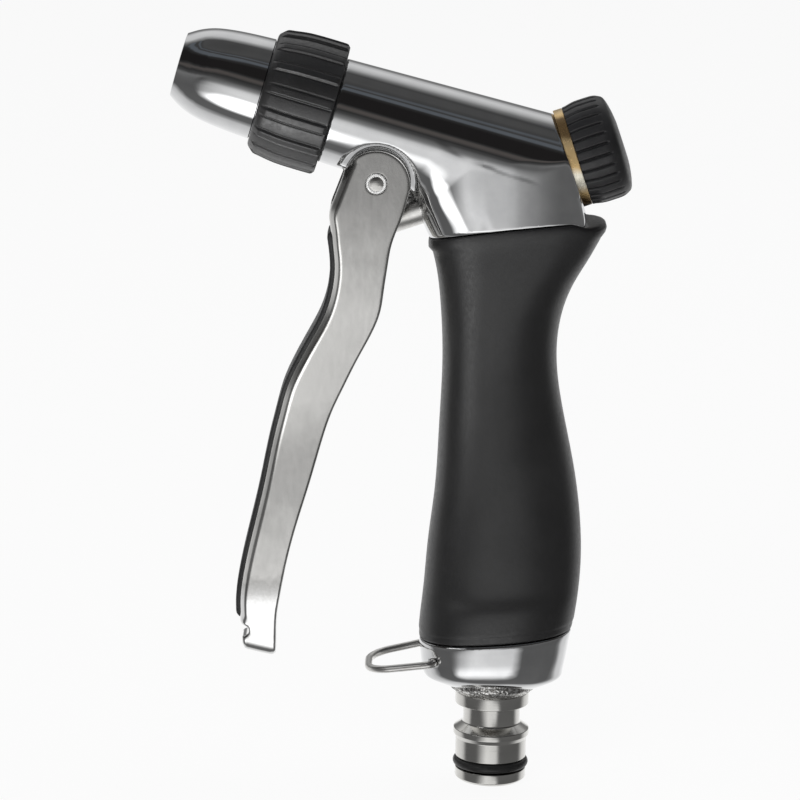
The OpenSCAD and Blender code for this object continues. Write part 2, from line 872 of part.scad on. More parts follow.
module hold_open_bail() {
    corner_x = bail_len - bail_corner;
    corner_y = bail_root_w - corner_x * tan(bail_taper) - bail_corner / cos(bail_taper);
    hook_y = bail_root_w - hook_bend * tan(bail_taper) - hook_bend / cos(bail_taper);
    side = 90 - bail_taper;
    path = concat(
        [[0, bail_root_w - hook_in, 90]],
        turn(hook_bend, hook_y, hook_bend, 180, side, 5),
        turn(corner_x, corner_y, bail_corner, side, 0, 6),
        turn(corner_x, -corner_y, bail_corner, 0, -side, 6),
        turn(hook_bend, -hook_y, hook_bend, -side, -180, 5),
        [[0, hook_in - bail_root_w, -270]]
    );
    color([0.7, 0.7, 0.69])
        translate([bail_pivot[0], 0, bail_pivot[1]])
            rotate([0, bail_droop, 180])
                loft([for (p = path) wire_ring(p)]);
}

body_casting();
grip_sleeve();
base_cap();
hose_plug();
plug_o_ring();
plug_washer();
jet_needle();
pivot_pin();
brass_bush();
bush_gasket();
sleeve_o_ring();
stem_o_ring();
squeeze_lever();
lever_pad();
valve_stem();
valve_disc();
disc_washer();
stem_nut();
return_spring();
nozzle_o_ring();
nozzle_tip();
nozzle_collar();
flow_sleeve();
flow_knob();
knob_screw();
hold_open_bail();
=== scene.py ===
# %% [markdown]
# # A hose spray nozzle
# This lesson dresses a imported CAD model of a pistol-shaped spray nozzle: a chromed body, a satin lever, a rubber
# grip and a brass ring. Every piece is built where the CAD says it is, in metres, and rides on a CAD body, so that
# the lever still squeezes and the nozzle still turns when it is finished.

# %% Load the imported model
import math

import bmesh
import bpy
import numpy as np
from mathutils import Matrix, Vector


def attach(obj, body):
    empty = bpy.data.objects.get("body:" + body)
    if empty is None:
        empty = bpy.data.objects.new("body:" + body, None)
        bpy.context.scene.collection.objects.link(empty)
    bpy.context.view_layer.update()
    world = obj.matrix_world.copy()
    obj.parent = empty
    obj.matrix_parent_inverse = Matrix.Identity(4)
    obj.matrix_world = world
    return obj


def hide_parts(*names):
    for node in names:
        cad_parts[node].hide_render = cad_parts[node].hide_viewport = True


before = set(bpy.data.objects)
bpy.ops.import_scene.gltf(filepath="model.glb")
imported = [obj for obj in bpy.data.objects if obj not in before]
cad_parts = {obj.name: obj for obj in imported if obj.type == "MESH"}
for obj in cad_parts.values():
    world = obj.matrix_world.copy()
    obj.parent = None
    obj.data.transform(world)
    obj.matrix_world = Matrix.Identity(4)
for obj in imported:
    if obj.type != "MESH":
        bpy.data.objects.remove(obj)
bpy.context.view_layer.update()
MM = 0.001

# %% [markdown]
# ## Three axes
# The barrel slopes down to the rear, the valve slopes up to the rear, and the lever swings on a cross pin. Each
# turned piece is drawn round its own Z axis and then set down on one of these axes, so one matrix per axis is enough.

# %% Axes of the nozzle
BARREL_FRONT = np.array((-72.0, 0.0, 149.6))
BARREL_TILT = 15.5
VALVE_REAR = np.array((13.7, 0.0, 130.6))
VALVE_TILT = 19.5
PIVOT = np.array((-28.3, 0.0, 125.4))
FLOOR_Z = -11.4


def along(origin, lean):
    """Matrix that stands local Z on an axis in the XZ plane, leaning from the vertical."""
    return Matrix.Translation(Vector(origin) * MM) @ Matrix.Rotation(math.radians(lean), 4, "Y")


on_plug = Matrix.Identity(4)
on_barrel = along(BARREL_FRONT, 90 + BARREL_TILT)
on_valve = along(VALVE_REAR, 90 - VALVE_TILT)
on_pivot = Matrix.Translation(Vector(PIVOT) * MM) @ Matrix.Rotation(math.radians(90), 4, "X")
barrel_way = np.array((math.cos(math.radians(BARREL_TILT)), 0, -math.sin(math.radians(BARREL_TILT))))
valve_way = np.array((math.cos(math.radians(VALVE_TILT)), 0, math.sin(math.radians(VALVE_TILT))))
print("barrel points along", barrel_way.round(3), "and the valve along", valve_way.round(3))

# %% [markdown]
# ## Bench tools
# Operators act on whatever is selected, so each tool first clears the bench. A piece is drawn in millimetres at the
# origin and set down at the end, with its place frozen into its mesh.


# %% Bench tools
def clear_bench():
    """Back to object mode with nothing selected."""
    if bpy.context.object is not None and bpy.context.object.mode != "OBJECT":
        bpy.ops.object.mode_set(mode="OBJECT")
    bpy.ops.object.select_all(action="DESELECT")


def pick(piece):
    """Makes one piece the only selected and active one."""
    clear_bench()
    piece.select_set(True)
    bpy.context.view_layer.objects.active = piece


def set_down(piece, place):
    """Moves a piece drawn in millimetres to its place and freezes it there."""
    pick(piece)
    piece.matrix_world = place @ Matrix.Scale(MM, 4)
    bpy.ops.object.transform_apply(location=True, rotation=True, scale=True)


def close_shell(piece, gap, sharp):
    """Merges doubles, points the faces outwards and smooths all but the sharp edges."""
    pick(piece)
    bpy.ops.object.mode_set(mode="EDIT")
    bpy.ops.mesh.select_all(action="SELECT")
    bpy.ops.mesh.remove_doubles(threshold=gap)
    bpy.ops.mesh.normals_make_consistent(inside=False)
    bpy.ops.object.mode_set(mode="OBJECT")
    bpy.ops.object.shade_smooth_by_angle(angle=math.radians(sharp))


def points_of(piece):
    """The piece's points as rows of x, y, z."""
    flat = np.empty(len(piece.data.vertices) * 3, np.float32)
    piece.data.vertices.foreach_get("co", flat)
    return flat.reshape(-1, 3).astype(float)


def move_points(piece, rows):
    """Writes rows of x, y, z back to the piece."""
    piece.data.vertices.foreach_set("co", rows.astype(np.float32).ravel())
    piece.data.update()


def rounded(corners, arc=6):
    """A closed line of (r, z, corner radius) points, with an arc at each corner that has a radius."""
    line = []
    for i, (r, z, bend) in enumerate(corners):
        here = np.array((r, z), float)
        before = np.array(corners[i - 1][:2], float) - here
        after = np.array(corners[(i + 1) % len(corners)][:2], float) - here
        reach = 0.48 * min(np.linalg.norm(before), np.linalg.norm(after))
        before, after = before / np.linalg.norm(before), after / np.linalg.norm(after)
        half = math.acos(np.clip(before @ after, -1, 1)) / 2
        if bend <= 0 or half > 1.56:
            line.append(tuple(here))
            continue
        back = min(bend / math.tan(half), reach)
        for t in np.linspace(0, 1, arc + 1):
            one, two = here + before * back * (1 - t), here + after * back * t
            line.append(tuple(one + (two - one) * t))
    return line


def lathe(name, line, place, steps=128, sharp=32):
    """Draws half a section by extruding one point along a closed line, spins it round Z and sets it down."""
    clear_bench()
    bpy.ops.mesh.primitive_plane_add(size=1)
    piece = bpy.context.object
    piece.name = piece.data.name = name
    bpy.ops.object.mode_set(mode="EDIT")
    bpy.ops.mesh.select_all(action="SELECT")
    bpy.ops.mesh.merge(type="CENTER")
    bpy.ops.transform.translate(value=(line[0][0], 0, line[0][1]))
    for (r0, z0), (r1, z1) in zip(line, list(line[1:]) + [line[0]]):
        bpy.ops.mesh.extrude_region_move(TRANSFORM_OT_translate={"value": (r1 - r0, 0, z1 - z0)})
    bpy.ops.mesh.select_all(action="SELECT")
    bpy.ops.mesh.spin(steps=steps, angle=2 * math.pi, center=(0, 0, 0), axis=(0, 0, 1))
    close_shell(piece, 0.002, sharp)
    if place is not None:
        set_down(piece, place)
    return piece


def post(name, r, low, high, place):
    """A plain round bar between two stations of an axis."""
    return lathe(name, [(0, low), (r, low), (r, high), (0, high)], place)


def loft(name, rings, sharp=40):
    """Extrudes a circle's edge from ring to ring, moves each new loop to its ring and closes both ends."""
    clear_bench()
    bpy.ops.mesh.primitive_circle_add(vertices=len(rings[0]), radius=1, fill_type="NOTHING")
    piece = bpy.context.object
    piece.name = piece.data.name = name
    bpy.ops.object.mode_set(mode="EDIT")
    mesh = bmesh.from_edit_mesh(piece.data)
    loop = list(mesh.verts)
    for point, spot in zip(loop, rings[0]):
        point.co = spot
    bpy.ops.mesh.select_all(action="SELECT")
    bpy.ops.mesh.edge_face_add()
    for before, ring in zip(rings, rings[1:]):
        bpy.ops.mesh.extrude_region_move()
        mesh = bmesh.from_edit_mesh(piece.data)
        spots = {tuple(np.round(np.float32(spot), 3)): i for i, spot in enumerate(before)}
        for point in mesh.verts:
            if point.select:
                point.co = ring[spots[tuple(np.round(np.float32(point.co), 3))]]
    bmesh.update_edit_mesh(piece.data)
    close_shell(piece, 0.0005, sharp)
    set_down(piece, on_plug)
    return piece


def tell(*pieces):
    """Prints how many points each piece has."""
    print(", ".join(f"{piece.name}: {len(piece.data.vertices)} points" for piece in pieces))


def combine(piece, tool, how):
    """Joins a tool to a piece, or cuts it away, and throws the tool away."""
    pick(piece)
    step = piece.modifiers.new("combine", "BOOLEAN")
    step.operation, step.object, step.solver = how, tool, "EXACT"
    bpy.ops.object.modifier_apply(modifier=step.name)
    bpy.data.objects.remove(tool)


# %% [markdown]
# ## Even skins
# A mirror finish shows every wobble of a mesh. The body, the lever and the cap are therefore blocked out first, cut
# into an even net of small squares, and then every point of the net is slid onto a formula for the real surface.
# The formula is a distance that is negative inside; two shapes are joined or carved with a soft corner between them.

# %% Tools for even skins
NUDGE, LONGEST_STEP = 0.02, 0.4


def join(a, b, soft):
    """Union of two distances with a fillet."""
    near = np.clip(soft - np.abs(a - b), 0, None) / soft
    return np.minimum(a, b) - near * near * soft / 4


def meet(a, b, soft):
    """What two distances share, with a rounded edge."""
    return -join(-a, -b, soft)


def carve(a, b, soft):
    """A distance with another cut out of it, with a rounded edge."""
    return meet(a, -b, soft)


def ease(t):
    """A soft step from 0 to 1."""
    t = np.clip(t, 0, 1)
    return t * t * (3 - 2 * t)


def axis_of(rows, origin, way):
    """Station along an axis and radius from it."""
    arm = rows - origin
    station = arm @ way
    return station, np.sqrt(np.maximum((arm * arm).sum(1) - station**2, 0))


def smooth_line(points):
    """A curve through (station, value) points that bends evenly: a natural cubic spline."""
    t, v = np.array(points, float).T
    h = np.diff(t)
    n = len(t)
    rows, right = np.eye(n), np.zeros(n)
    for i in range(1, n - 1):
        rows[i, i - 1 : i + 2] = h[i - 1], 2 * (h[i - 1] + h[i]), h[i]
        right[i] = 6 * ((v[i + 1] - v[i]) / h[i] - (v[i] - v[i - 1]) / h[i - 1])
    bend = np.linalg.solve(rows, right)

    def at(x):
        x = np.clip(x, t[0], t[-1])
        i = np.clip(np.searchsorted(t, x, side="right") - 1, 0, n - 2)
        a, b = (t[i + 1] - x) / h[i], (x - t[i]) / h[i]
        curve = ((a**3 - a) * bend[i] + (b**3 - b) * bend[i + 1]) * h[i] ** 2 / 6
        return a * v[i] + b * v[i + 1] + curve

    return at


def by_level(levels, *values):
    """A smooth line with one value at each level."""
    return smooth_line(list(zip(levels, values)))


def turn_line(curve, stations):
    """Points (r, z) of a turned outline whose radius is a smooth line."""
    return [(float(curve(s)), float(s)) for s in stations]


def even_skin(piece, size, formula, rounds=4):
    """Cuts a piece into an even net and slides the net onto a formula's surface."""
    pick(piece)
    net = piece.modifiers.new("net", "REMESH")
    net.mode, net.voxel_size = "VOXEL", size * MM
    bpy.ops.object.modifier_apply(modifier=net.name)
    for turn in range(rounds):
        if turn < rounds - 1:
            bpy.ops.object.mode_set(mode="EDIT")
            bpy.ops.mesh.select_all(action="SELECT")
            bpy.ops.mesh.vertices_smooth(factor=0.5, repeat=2)
            bpy.ops.object.mode_set(mode="OBJECT")
        rows = points_of(piece) / MM
        for _ in range(4):
            gap = formula(rows)
            slope = np.empty_like(rows)
            for k in range(3):
                nudge = np.zeros(3)
                nudge[k] = NUDGE
                slope[:, k] = (formula(rows + nudge) - formula(rows - nudge)) / (2 * NUDGE)
            steep = np.maximum((slope * slope).sum(1), 0.2)
            step = np.clip(gap / steep, -LONGEST_STEP, LONGEST_STEP)
            rows -= slope * step[:, None]
        move_points(piece, rows * MM)
    pick(piece)
    bpy.ops.object.shade_smooth()
    print(piece.name, "net:", len(piece.data.polygons), "faces, off by", round(float(np.abs(gap).max()), 3), "mm")


# %% [markdown]
# ## The chromed body
# The body is one casting: a slightly conical barrel, and under it an oval head. The head's flanks drop straight from
# the barrel's sides and draw in towards the brass ring, and its lower rim is bowed, higher at the sides than in the
# middle. A round pocket on each side takes the lever's ears, and a rod comes out below them. Subdivision could make
# it, but the reflections need a barrel that is truly round and a flank without a dent, so it is blocked out with a
# lathe and a loft, cut with Booleans, and finished as an even skin. The flank is one curve seen from above. Barrel
# and head both end on it, so that no line shows between them.

# %% Head and barrel sizes
RIM_Z = 114.6
HEAD_LEVELS = (108, 114.6, 116.5, 118.6, 121.6, 125, 129, 133)
head_front = by_level(HEAD_LEVELS, -15.2, -16.35, -17.4, -18.5, -19.8, -20.8, -21.2, -20.3)
head_rear = by_level(HEAD_LEVELS, 17.4, 17.3, 17.25, 16.9, 16.2, 15.1, 13.6, 11.8)
head_half = by_level(HEAD_LEVELS, 12.7, 12.75, 13.0, 13.3, 13.5, 13.5, 13.5, 13.5)
head_lean = by_level(HEAD_LEVELS, 0.123, 0.123, 0.1, 0.075, 0.045, 0.01, 0, 0)
OVAL_P, HEAD_REAR_P = 2.3, 12.0
BOW = 0.0094
flank = smooth_line((
    (-22, 7.2), (-19, 9.0), (-15, 10.9), (-13, 11.6), (-11, 12.12), (-9, 12.44), (-7, 12.6), (-4.8, 12.7),
    (-2.5, 12.76), (0, 12.81), (1.8, 12.82), (4, 12.79), (7.2, 12.67), (9.4, 12.5), (11.6, 12.22), (14, 11.78),
    (17, 11.05), (22, 9.5)))
BARREL_START, BARREL_R, BARREL_FLARE = 34.97, 11.7, 0.0284
SPIGOT_START, SPIGOT_R = 16.5, 8.6
LUG_R, LUG_HALF, POCKET_R = 5, 5.2, 9
STEM_BORE, SEAT_BORE, CHAMBER_BORE, BUSH_BORE = 3.65, 6.5, 7.5, 9.3
SEAT_AT, CHAMBER_AT, BUSH_AT = -27.5, -20, -6.2
REAR_EDGE, REAR_BREAK = 12.9, (0.787, 0.617)
print("head:", RIM_Z, "to", HEAD_LEVELS[-1], "mm high, flank", round(float(flank(0)), 2), "mm from the middle")


# %% Oval sections
def bow_of(x, y, bow):
    """How far a bowed sheet rises at the sides; the bow runs out towards the tail."""
    return bow * y * y * (1 - ease((x - 14) / 5))


def oval(front, rear, half, level, lean, count, front_p, rear_p, bow=0.0):
    """Ring of an oval section in a plane that rises to the rear, or in a sheet bowed up at the sides."""
    turn = np.linspace(0, 2 * math.pi, count, endpoint=False)
    c, s = np.cos(turn), np.sin(turn)
    power = 2 / np.where(c > 0, rear_p, front_p)
    x = (front + rear) / 2 + (rear - front) / 2 * np.sign(c) * np.abs(c) ** power
    y = half * np.sign(s) * np.abs(s) ** power
    return np.stack([x, y, level + lean * x + bow_of(x, y, bow)], 1)


def oval_gap(x, y, front, rear, half, front_p, rear_p):
    """Distance from an oval section, exact near its edge."""
    along_x, across = (x - (front + rear) / 2) / ((rear - front) / 2), np.abs(y) / half
    power = np.where(along_x > 0, rear_p, front_p)
    size = (np.abs(along_x) ** power + across**power + 1e-9) ** (1 / power)
    steep = np.hypot(np.abs(along_x) ** (power - 1) / ((rear - front) / 2), across ** (power - 1) / half)
    return (size - 1) / np.maximum(steep * size ** (1 - power), 0.03)


# %% Formula of the body
def head_gap(rows):
    """Distance from the oval head, with a small round-over where it sits on the grip."""
    x, y, z = rows.T
    level = z - head_lean(z - 0.06 * x) * x - bow_of(x, y, BOW)
    tuck = 0.42 * np.clip((RIM_Z + 0.55 - level) / 0.7, 0, 1) ** 1.6
    half = head_half(level) - tuck + 1.5 * ease((x + 6) / 6)
    wall = oval_gap(x, y, head_front(level) + tuck, head_rear(level) - tuck, half, OVAL_P, HEAD_REAR_P)
    above = (rows - BARREL_FRONT) @ np.array((-barrel_way[2], 0, barrel_way[0]))
    wall = meet(wall, np.hypot(y, 1.25 * np.maximum(above, 0)) - flank(x) + tuck, 1.0)
    wall = meet(wall, above - 0.3, 1.5)
    return meet(wall, RIM_Z - 2.5 - level, 0.3)


def rear_gap(rows):
    """Distance from the turned face that the brass ring closes, with a broken edge."""
    v, q = axis_of(rows, VALVE_REAR, valve_way)
    return meet(v, REAR_BREAK[0] * (q - REAR_EDGE) + REAR_BREAK[1] * v, 0.5)


def body_gap(rows):
    """Distance from the whole casting."""
    x, y, z = rows.T
    s, r = axis_of(rows, BARREL_FRONT, barrel_way)
    v, q = axis_of(rows, VALVE_REAR, valve_way)
    hinge = np.hypot(x - PIVOT[0], z - PIVOT[2])
    barrel = meet(r - BARREL_R - (s - 35.2) * BARREL_FLARE, BARREL_START - s, 0.35)
    barrel = meet(barrel, rear_gap(rows), 0.6)
    barrel = meet(barrel, np.abs(y) - flank(x) - 0.1 * np.maximum(-5 - x, 0) ** 2, 0.08 + 0.3 * ease(x / 6))
    fillet = 0.001 + 0.15 * ease((-1 - x) / 3) + 2.0 * ease((-8 - x) / 8)
    body = join(barrel, head_gap(rows), fillet)
    body = join(body, meet(r - SPIGOT_R, np.maximum(SPIGOT_START - s, s - 40), 0.5), 0.3)
    body = join(body, meet(hinge - LUG_R, np.abs(y) - LUG_HALF, 0.5), 0.8)
    body = carve(body, meet(hinge - POCKET_R, LUG_HALF - np.abs(y), 0.3), 0.5)
    body = carve(body, meet(q - STEM_BORE, v + 24, 0.3), 0.4)
    body = carve(body, meet(meet(q - SEAT_BORE, SEAT_AT - v, 0.3), v + 10, 0.3), 0.3)
    body = carve(body, meet(q - CHAMBER_BORE, np.maximum(CHAMBER_AT - v, v), 0.3), 0.3)
    return carve(body, meet(q - BUSH_BORE, BUSH_AT - v, 0.3), 0.3)


# %% Block out the body and give it its skin
barrel_line = [(0, BARREL_START), (BARREL_R, BARREL_START), (13.4, 95), (0, 95)]
body = lathe("body_shell", barrel_line, on_barrel)
rear_line = [(0, -90), (70, -90), (70, -10), (15.4, -3), (REAR_EDGE, 0), (0, 0)]
combine(body, lathe("rear_form", rear_line, on_valve), "INTERSECT")
head_rings = [
    oval(head_front(h), head_rear(h), 0.95 * head_half(h), h, head_lean(h), 72, OVAL_P, HEAD_REAR_P)
    for h in (112.1, 114.6, 116.5, 118.6, 121.6, 125, 129, 131)
]
combine(body, loft("head_form", head_rings), "UNION")
combine(body, post("spigot_form", SPIGOT_R, SPIGOT_START, 37, on_barrel), "UNION")
combine(body, post("lug_form", LUG_R, -LUG_HALF, LUG_HALF, on_pivot), "UNION")
for low, high in ((LUG_HALF, 40), (-40, -LUG_HALF)):
    combine(body, post("pocket_form", POCKET_R, low, high, on_pivot), "DIFFERENCE")
bore_line = [(0, -70), (STEM_BORE, -70), (STEM_BORE, SEAT_AT), (SEAT_BORE, SEAT_AT), (SEAT_BORE, CHAMBER_AT),
             (CHAMBER_BORE, CHAMBER_AT), (CHAMBER_BORE, BUSH_AT), (BUSH_BORE, BUSH_AT), (BUSH_BORE, 5), (0, 5)]
combine(body, lathe("bore_form", bore_line, on_valve), "DIFFERENCE")
even_skin(body, 0.4, body_gap)

# %% [markdown]
# ## The squeeze lever
# The lever is a bent channel: a web in front, two side walls, and round ears on the cross pin. Its front edges are
# chamfered beside the rubber strip, and the foot below the strip is polished, runs out in a round sole and has a
# notch for the bail. A bevelled extrusion couldn't let the chamfer run out in the foot, so the plain CAD lever is
# copied and given an even skin.

# %% Lever lines
LEVER_FRONT = ((14, -56.2), (20, -56.5), (26, -56.7), (29.6, -56.8), (35.1, -56.3), (46.3, -54.1), (57.3, -51.7),
               (68.3, -49.6), (73.9, -48.3), (79.2, -46.9), (84.8, -44.5), (90.2, -41.7), (95.8, -38.9), (101, -37.4),
               (106.4, -36.9), (111.5, -37.4), (115.5, -38.15), (117.4, -38.5), (119, -38.4), (121, -37.75),
               (124, -36.64), (127, -35.52), (130, -34.4))
LEVER_REAR = ((14, -49.2), (20.3, -48.9), (27.4, -48.7), (30.2, -48.3), (35.7, -47.4), (47, -44.9), (58.1, -41.75),
              (68.9, -38.85), (74.5, -37), (79.9, -34.6), (85.5, -32), (90.9, -29.25), (96.5, -27), (101.7, -26.2),
              (107.1, -25.5), (112.3, -24.6), (115.5, -23.5), (118.3, -22.45), (121.3, -21.6), (124.2, -20.9),
              (130, -19.4))
lever_front, lever_rear = smooth_line(LEVER_FRONT), smooth_line(LEVER_REAR)
CATCH_R, CATCH_ANGLE, NOTCH_OUT, NOTCH_R = 106.3, math.radians(15.15), 0.28, 1.3
NOTCH = (PIVOT[0] - CATCH_R * math.sin(CATCH_ANGLE) - NOTCH_OUT, PIVOT[2] - CATCH_R * math.cos(CATCH_ANGLE))
BAR_PASS, BAR_PASS_R = (-57.19, 18.85), 1.0
FOOT_R, SOLE_R, EAR_R, PIN_HOLE = 110.8, 2.6, 7.5, 2.06
CHORD_WAY, CHORD_AT, CHAMFER_WAY, CHAMFER = (0.359, 0.933), (-34.6, 129.47), (0.809, 0.588), 1.9
print("lever: notch at", np.round(NOTCH, 2), "mm")


# %% Formula of the lever
def lever_half(z):
    """Half width of the lever: an even taper that gets steeper at the polished foot."""
    return join(5.5 + 2.9 * (z - 18) / 92, 8.4 + 0 * z, 0.4) - 0.15 * meet(33 - z, 0 * z, 3)


def lip_of(z):
    """How far the metal's front edge stands round the strip."""
    return 0.4 * ease((118 - z) / 8) * ease((z - 23.8) / 1.4)


def lean_of(line, z):
    """Cosine of a line's lean, which turns a level gap into a true one."""
    return 1 / np.hypot(1, (line(z + 0.2) - line(z - 0.2)) / 0.4)


def lever_gap(rows):
    """Distance from the whole lever."""
    x, y, z = rows.T
    side = np.abs(y)
    hinge = np.hypot(x - PIVOT[0], z - PIVOT[2])
    half = lever_half(z)
    front = (lever_front(z) - lip_of(z) - x) * lean_of(lever_front, z)
    rear = (x - lever_rear(z)) * lean_of(lever_rear, z)
    chord = CHORD_WAY[0] * (x - CHORD_AT[0]) + CHORD_WAY[1] * (z - CHORD_AT[1])
    outline = np.minimum(np.maximum(meet(front, rear, 0.3), chord), hinge - EAR_R)
    sole = np.clip((FOOT_R - hinge) / SOLE_R, 0, 1)
    outline = meet(outline, hinge - FOOT_R, 0.8)
    lever = meet(outline, side - half + 1.5 * (1 - np.sqrt(1 - (1 - sole) ** 2)), 0.7)
    slant = side - half + CHAMFER * ease((z - 22.5) / 4)
    lever = meet(lever, CHAMFER_WAY[0] * front + CHAMFER_WAY[1] * slant, 0.5)
    lever = carve(lever, np.hypot(x - BAR_PASS[0], z - BAR_PASS[1]) - BAR_PASS_R, 0.3)
    inner = half - 2.2 - 0.7 * ease((z - 112) / 6)
    hollow = meet(meet(side - inner, join(front + 2.6, 119 - z, 1), 1.2), 28 - z, 3)
    lever = carve(lever, hollow, 0.5)
    v, _ = axis_of(rows, VALVE_REAR, valve_way)
    lift = (rows - VALVE_REAR) @ np.array((-valve_way[2], 0, valve_way[0]))
    cam = np.maximum(np.maximum(v + 44.3, -51.7 - v), np.abs(lift) - 3.6)
    lever = join(lever, meet(cam, side - 7.4, 0.5), 0.5)
    lever = carve(lever, hinge - PIN_HOLE, 0.25)
    return carve(lever, np.hypot(x - NOTCH[0], z - NOTCH[1]) - NOTCH_R, 0.5)


# %% Copy the lever and give it its skin
def copy_of(node, name):
    """A merged copy of a CAD node, as a new piece."""
    piece = bpy.data.objects.new(name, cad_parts[node].data.copy())
    bpy.context.scene.collection.objects.link(piece)
    pick(piece)
    bpy.ops.object.mode_set(mode="EDIT")
    bpy.ops.mesh.select_all(action="SELECT")
    bpy.ops.mesh.remove_doubles(threshold=2e-6)
    bpy.ops.object.mode_set(mode="OBJECT")
    return piece


lever = copy_of("squeeze_lever", "lever")
even_skin(lever, 0.33, lever_gap)

# %% [markdown]
# ## The base cap
# Below the grip a chromed cap narrows to the hose plug. It is an oval cup, with a hole on each side for the bail's
# hooks. It could be lofted from rings, but the holes would leave dents in the mirror, so the CAD copy gets an even
# skin again, on the same oval as the head's.

# %% Cap formula and skin
CAP_LEVELS = (9.6, 10.6, 11.5, 13.1, 14.3, 15.7, 18, 20.7, 22.4, 23.05)
cap_front = by_level(CAP_LEVELS, -7.4, -9.6, -11.6, -14.9, -15.7, -16, -16.3, -16.6, -16.75, -16.7)
cap_rear = by_level(CAP_LEVELS, 7.6, 9.8, 11.8, 15.2, 15.75, 16, 16.5, 17, 17.35, 17.4)
cap_half = by_level(CAP_LEVELS, 6.2, 7.5, 8.8, 11.1, 12.1, 12.65, 13.1, 13.4, 13.5, 13.45)
cap_lean = by_level(CAP_LEVELS, 0, 0, 0.002, 0.012, 0.025, 0.035, 0.055, 0.077, 0.089, 0.089)
BAIL_PIVOT = np.array((-13.4, 0.0, 17.7))
BAIL_HALF = 10.2
CAP_LOW, CAP_TOP, PLUG_HOLE, HOOK_HOLE, HOOK_DEPTH = 10.3, 23.05, 7.22, 0.9, 3.8


def cap_gap(rows):
    """Distance from the cap."""
    x, y, z = rows.T
    level = z - cap_lean(z - 0.05 * x) * x
    grow = (cap_half(level + 0.1) - cap_half(level - 0.1)) / 0.2
    wall = oval_gap(x, y, cap_front(level), cap_rear(level), cap_half(level), OVAL_P, OVAL_P) / np.hypot(1, grow)
    cap = meet(meet(wall, level - CAP_TOP, 0.35), CAP_LOW - z, 0.4)
    cap = carve(cap, np.hypot(x, y) - PLUG_HOLE, 0.2)
    hole = np.hypot(x - BAIL_PIVOT[0], z - BAIL_PIVOT[2]) - HOOK_HOLE
    return carve(cap, np.maximum(hole, BAIL_HALF - HOOK_DEPTH - np.abs(y)), 0.35)


cap = copy_of("base_cap", "cap")
even_skin(cap, 0.32, cap_gap)

# %% [markdown]
# ## The rubber grip
# The grip is a moulded sleeve: an oval that swells at the palm, narrows at the waist and flares to a tail behind
# the head. One ring of points is extruded from level to level; a shallow ledge runs round near the bottom, and the
# top turns inwards so that a thin dark seam shows against the chrome.

# %% Grip rings
GRIP_FRONT = ((18, -17), (24, -16.9), (33, -16.1), (44, -15.3), (55, -14.1), (70, -13.4), (86, -13), (98, -13.7),
              (106, -14.8), (112.6, -16.6), (118, -18.6))
GRIP_REAR = ((18, 17.1), (24, 17.6), (30, 18.4), (41, 19.1), (50, 18.6), (60, 17.2), (71, 14.9), (80, 13.1),
             (88, 12.3), (96, 13), (103.7, 15.7), (109, 18.8), (113.5, 21.3), (116, 22.5), (120, 22.9))
GRIP_HALF = ((18, 13.3), (23, 13.55), (27, 13.8), (29.6, 13.92), (31, 13.84), (32.2, 13.6), (33.4, 13.34), (35, 13.2),
             (40, 13.1), (50, 12.85), (60, 12.6), (88, 11.9), (104, 12.75), (116, 13.3))
grip_front, grip_rear, grip_half = smooth_line(GRIP_FRONT), smooth_line(GRIP_REAR), smooth_line(GRIP_HALF)
SEAM_Z, SEAM_LEAN, RIM_LEAN = 23.1, 0.089, 0.123
COLUMNS = 128


def grip_ring(level, inset):
    """The grip's ring at a level, set in from its surface."""
    lean = SEAM_LEAN + (RIM_LEAN - SEAM_LEAN) * (level - SEAM_Z) / (RIM_Z - SEAM_Z)
    return oval(float(grip_front(level - 15 * lean)) + inset, float(grip_rear(level + 17 * lean)) - inset,
                float(grip_half(level)) - inset, level, lean, COLUMNS, OVAL_P,
                OVAL_P + 0.9 * ease((level - 94) / 18), BOW * float(ease((level - 92) / 18)))


grip_rings = [grip_ring(SEAM_Z + 0.12, inset) for inset in (2.2, 1.2)]
grip_rings += [grip_ring(SEAM_Z + 0.12 + rise, inset) for rise, inset in
               ((0.03, 0.6), (0.12, 0.36), (0.35, 0.2), (0.7, 0.15), (1.5, 0.14), (1.8, 0.12), (2.05, 0.04), (2.3, 0))]
grip_levels = np.concatenate([np.linspace(26.2, 40, 28), np.linspace(41.3, 111.5, 52)])
grip_rings += [grip_ring(level, 0) for level in grip_levels]
GRIP_TOP = ((-16.62, 22.2, 13.28, 112.6, 3.2), (-16.66, 22.42, 13.32, 113.4, 3.2), (-16.66, 22.3, 13.32, 113.9, 3.2),
            (-16.62, 21.9, 13.28, 114.25, 3.2), (-16.54, 21.3, 13.2, 114.45, 3.3), (-16.44, 20.6, 13.08, 114.54, 3.5),
            (-16.34, 18.6, 12.85, 114.52, 4), (-16.28, 17.6, 12.68, 114.4, 4), (-16.24, 17.35, 12.6, 114.1, 4),
            (-16.2, 17.3, 12.5, 112.4, 4))
grip_rings += [oval(f, r, h, level, RIM_LEAN, COLUMNS, OVAL_P, power, BOW) for f, r, h, level, power in GRIP_TOP]
grip = loft("grip", grip_rings, sharp=50)
print("grip:", len(grip_rings), "rings of", COLUMNS)

# %% [markdown]
# ## The lever's rubber strip
# A thin black strip is set into the lever's front, between the chamfers. Its section is a low bar with round outer
# corners, and its ends run out in a quarter round. A swept curve would twist at the bends of the lever, so one level
# ring is drawn at each height and the rings are joined as a loft.

# %% Strip rings
STRIP_LOW, STRIP_TOP = 25.5, 114.2


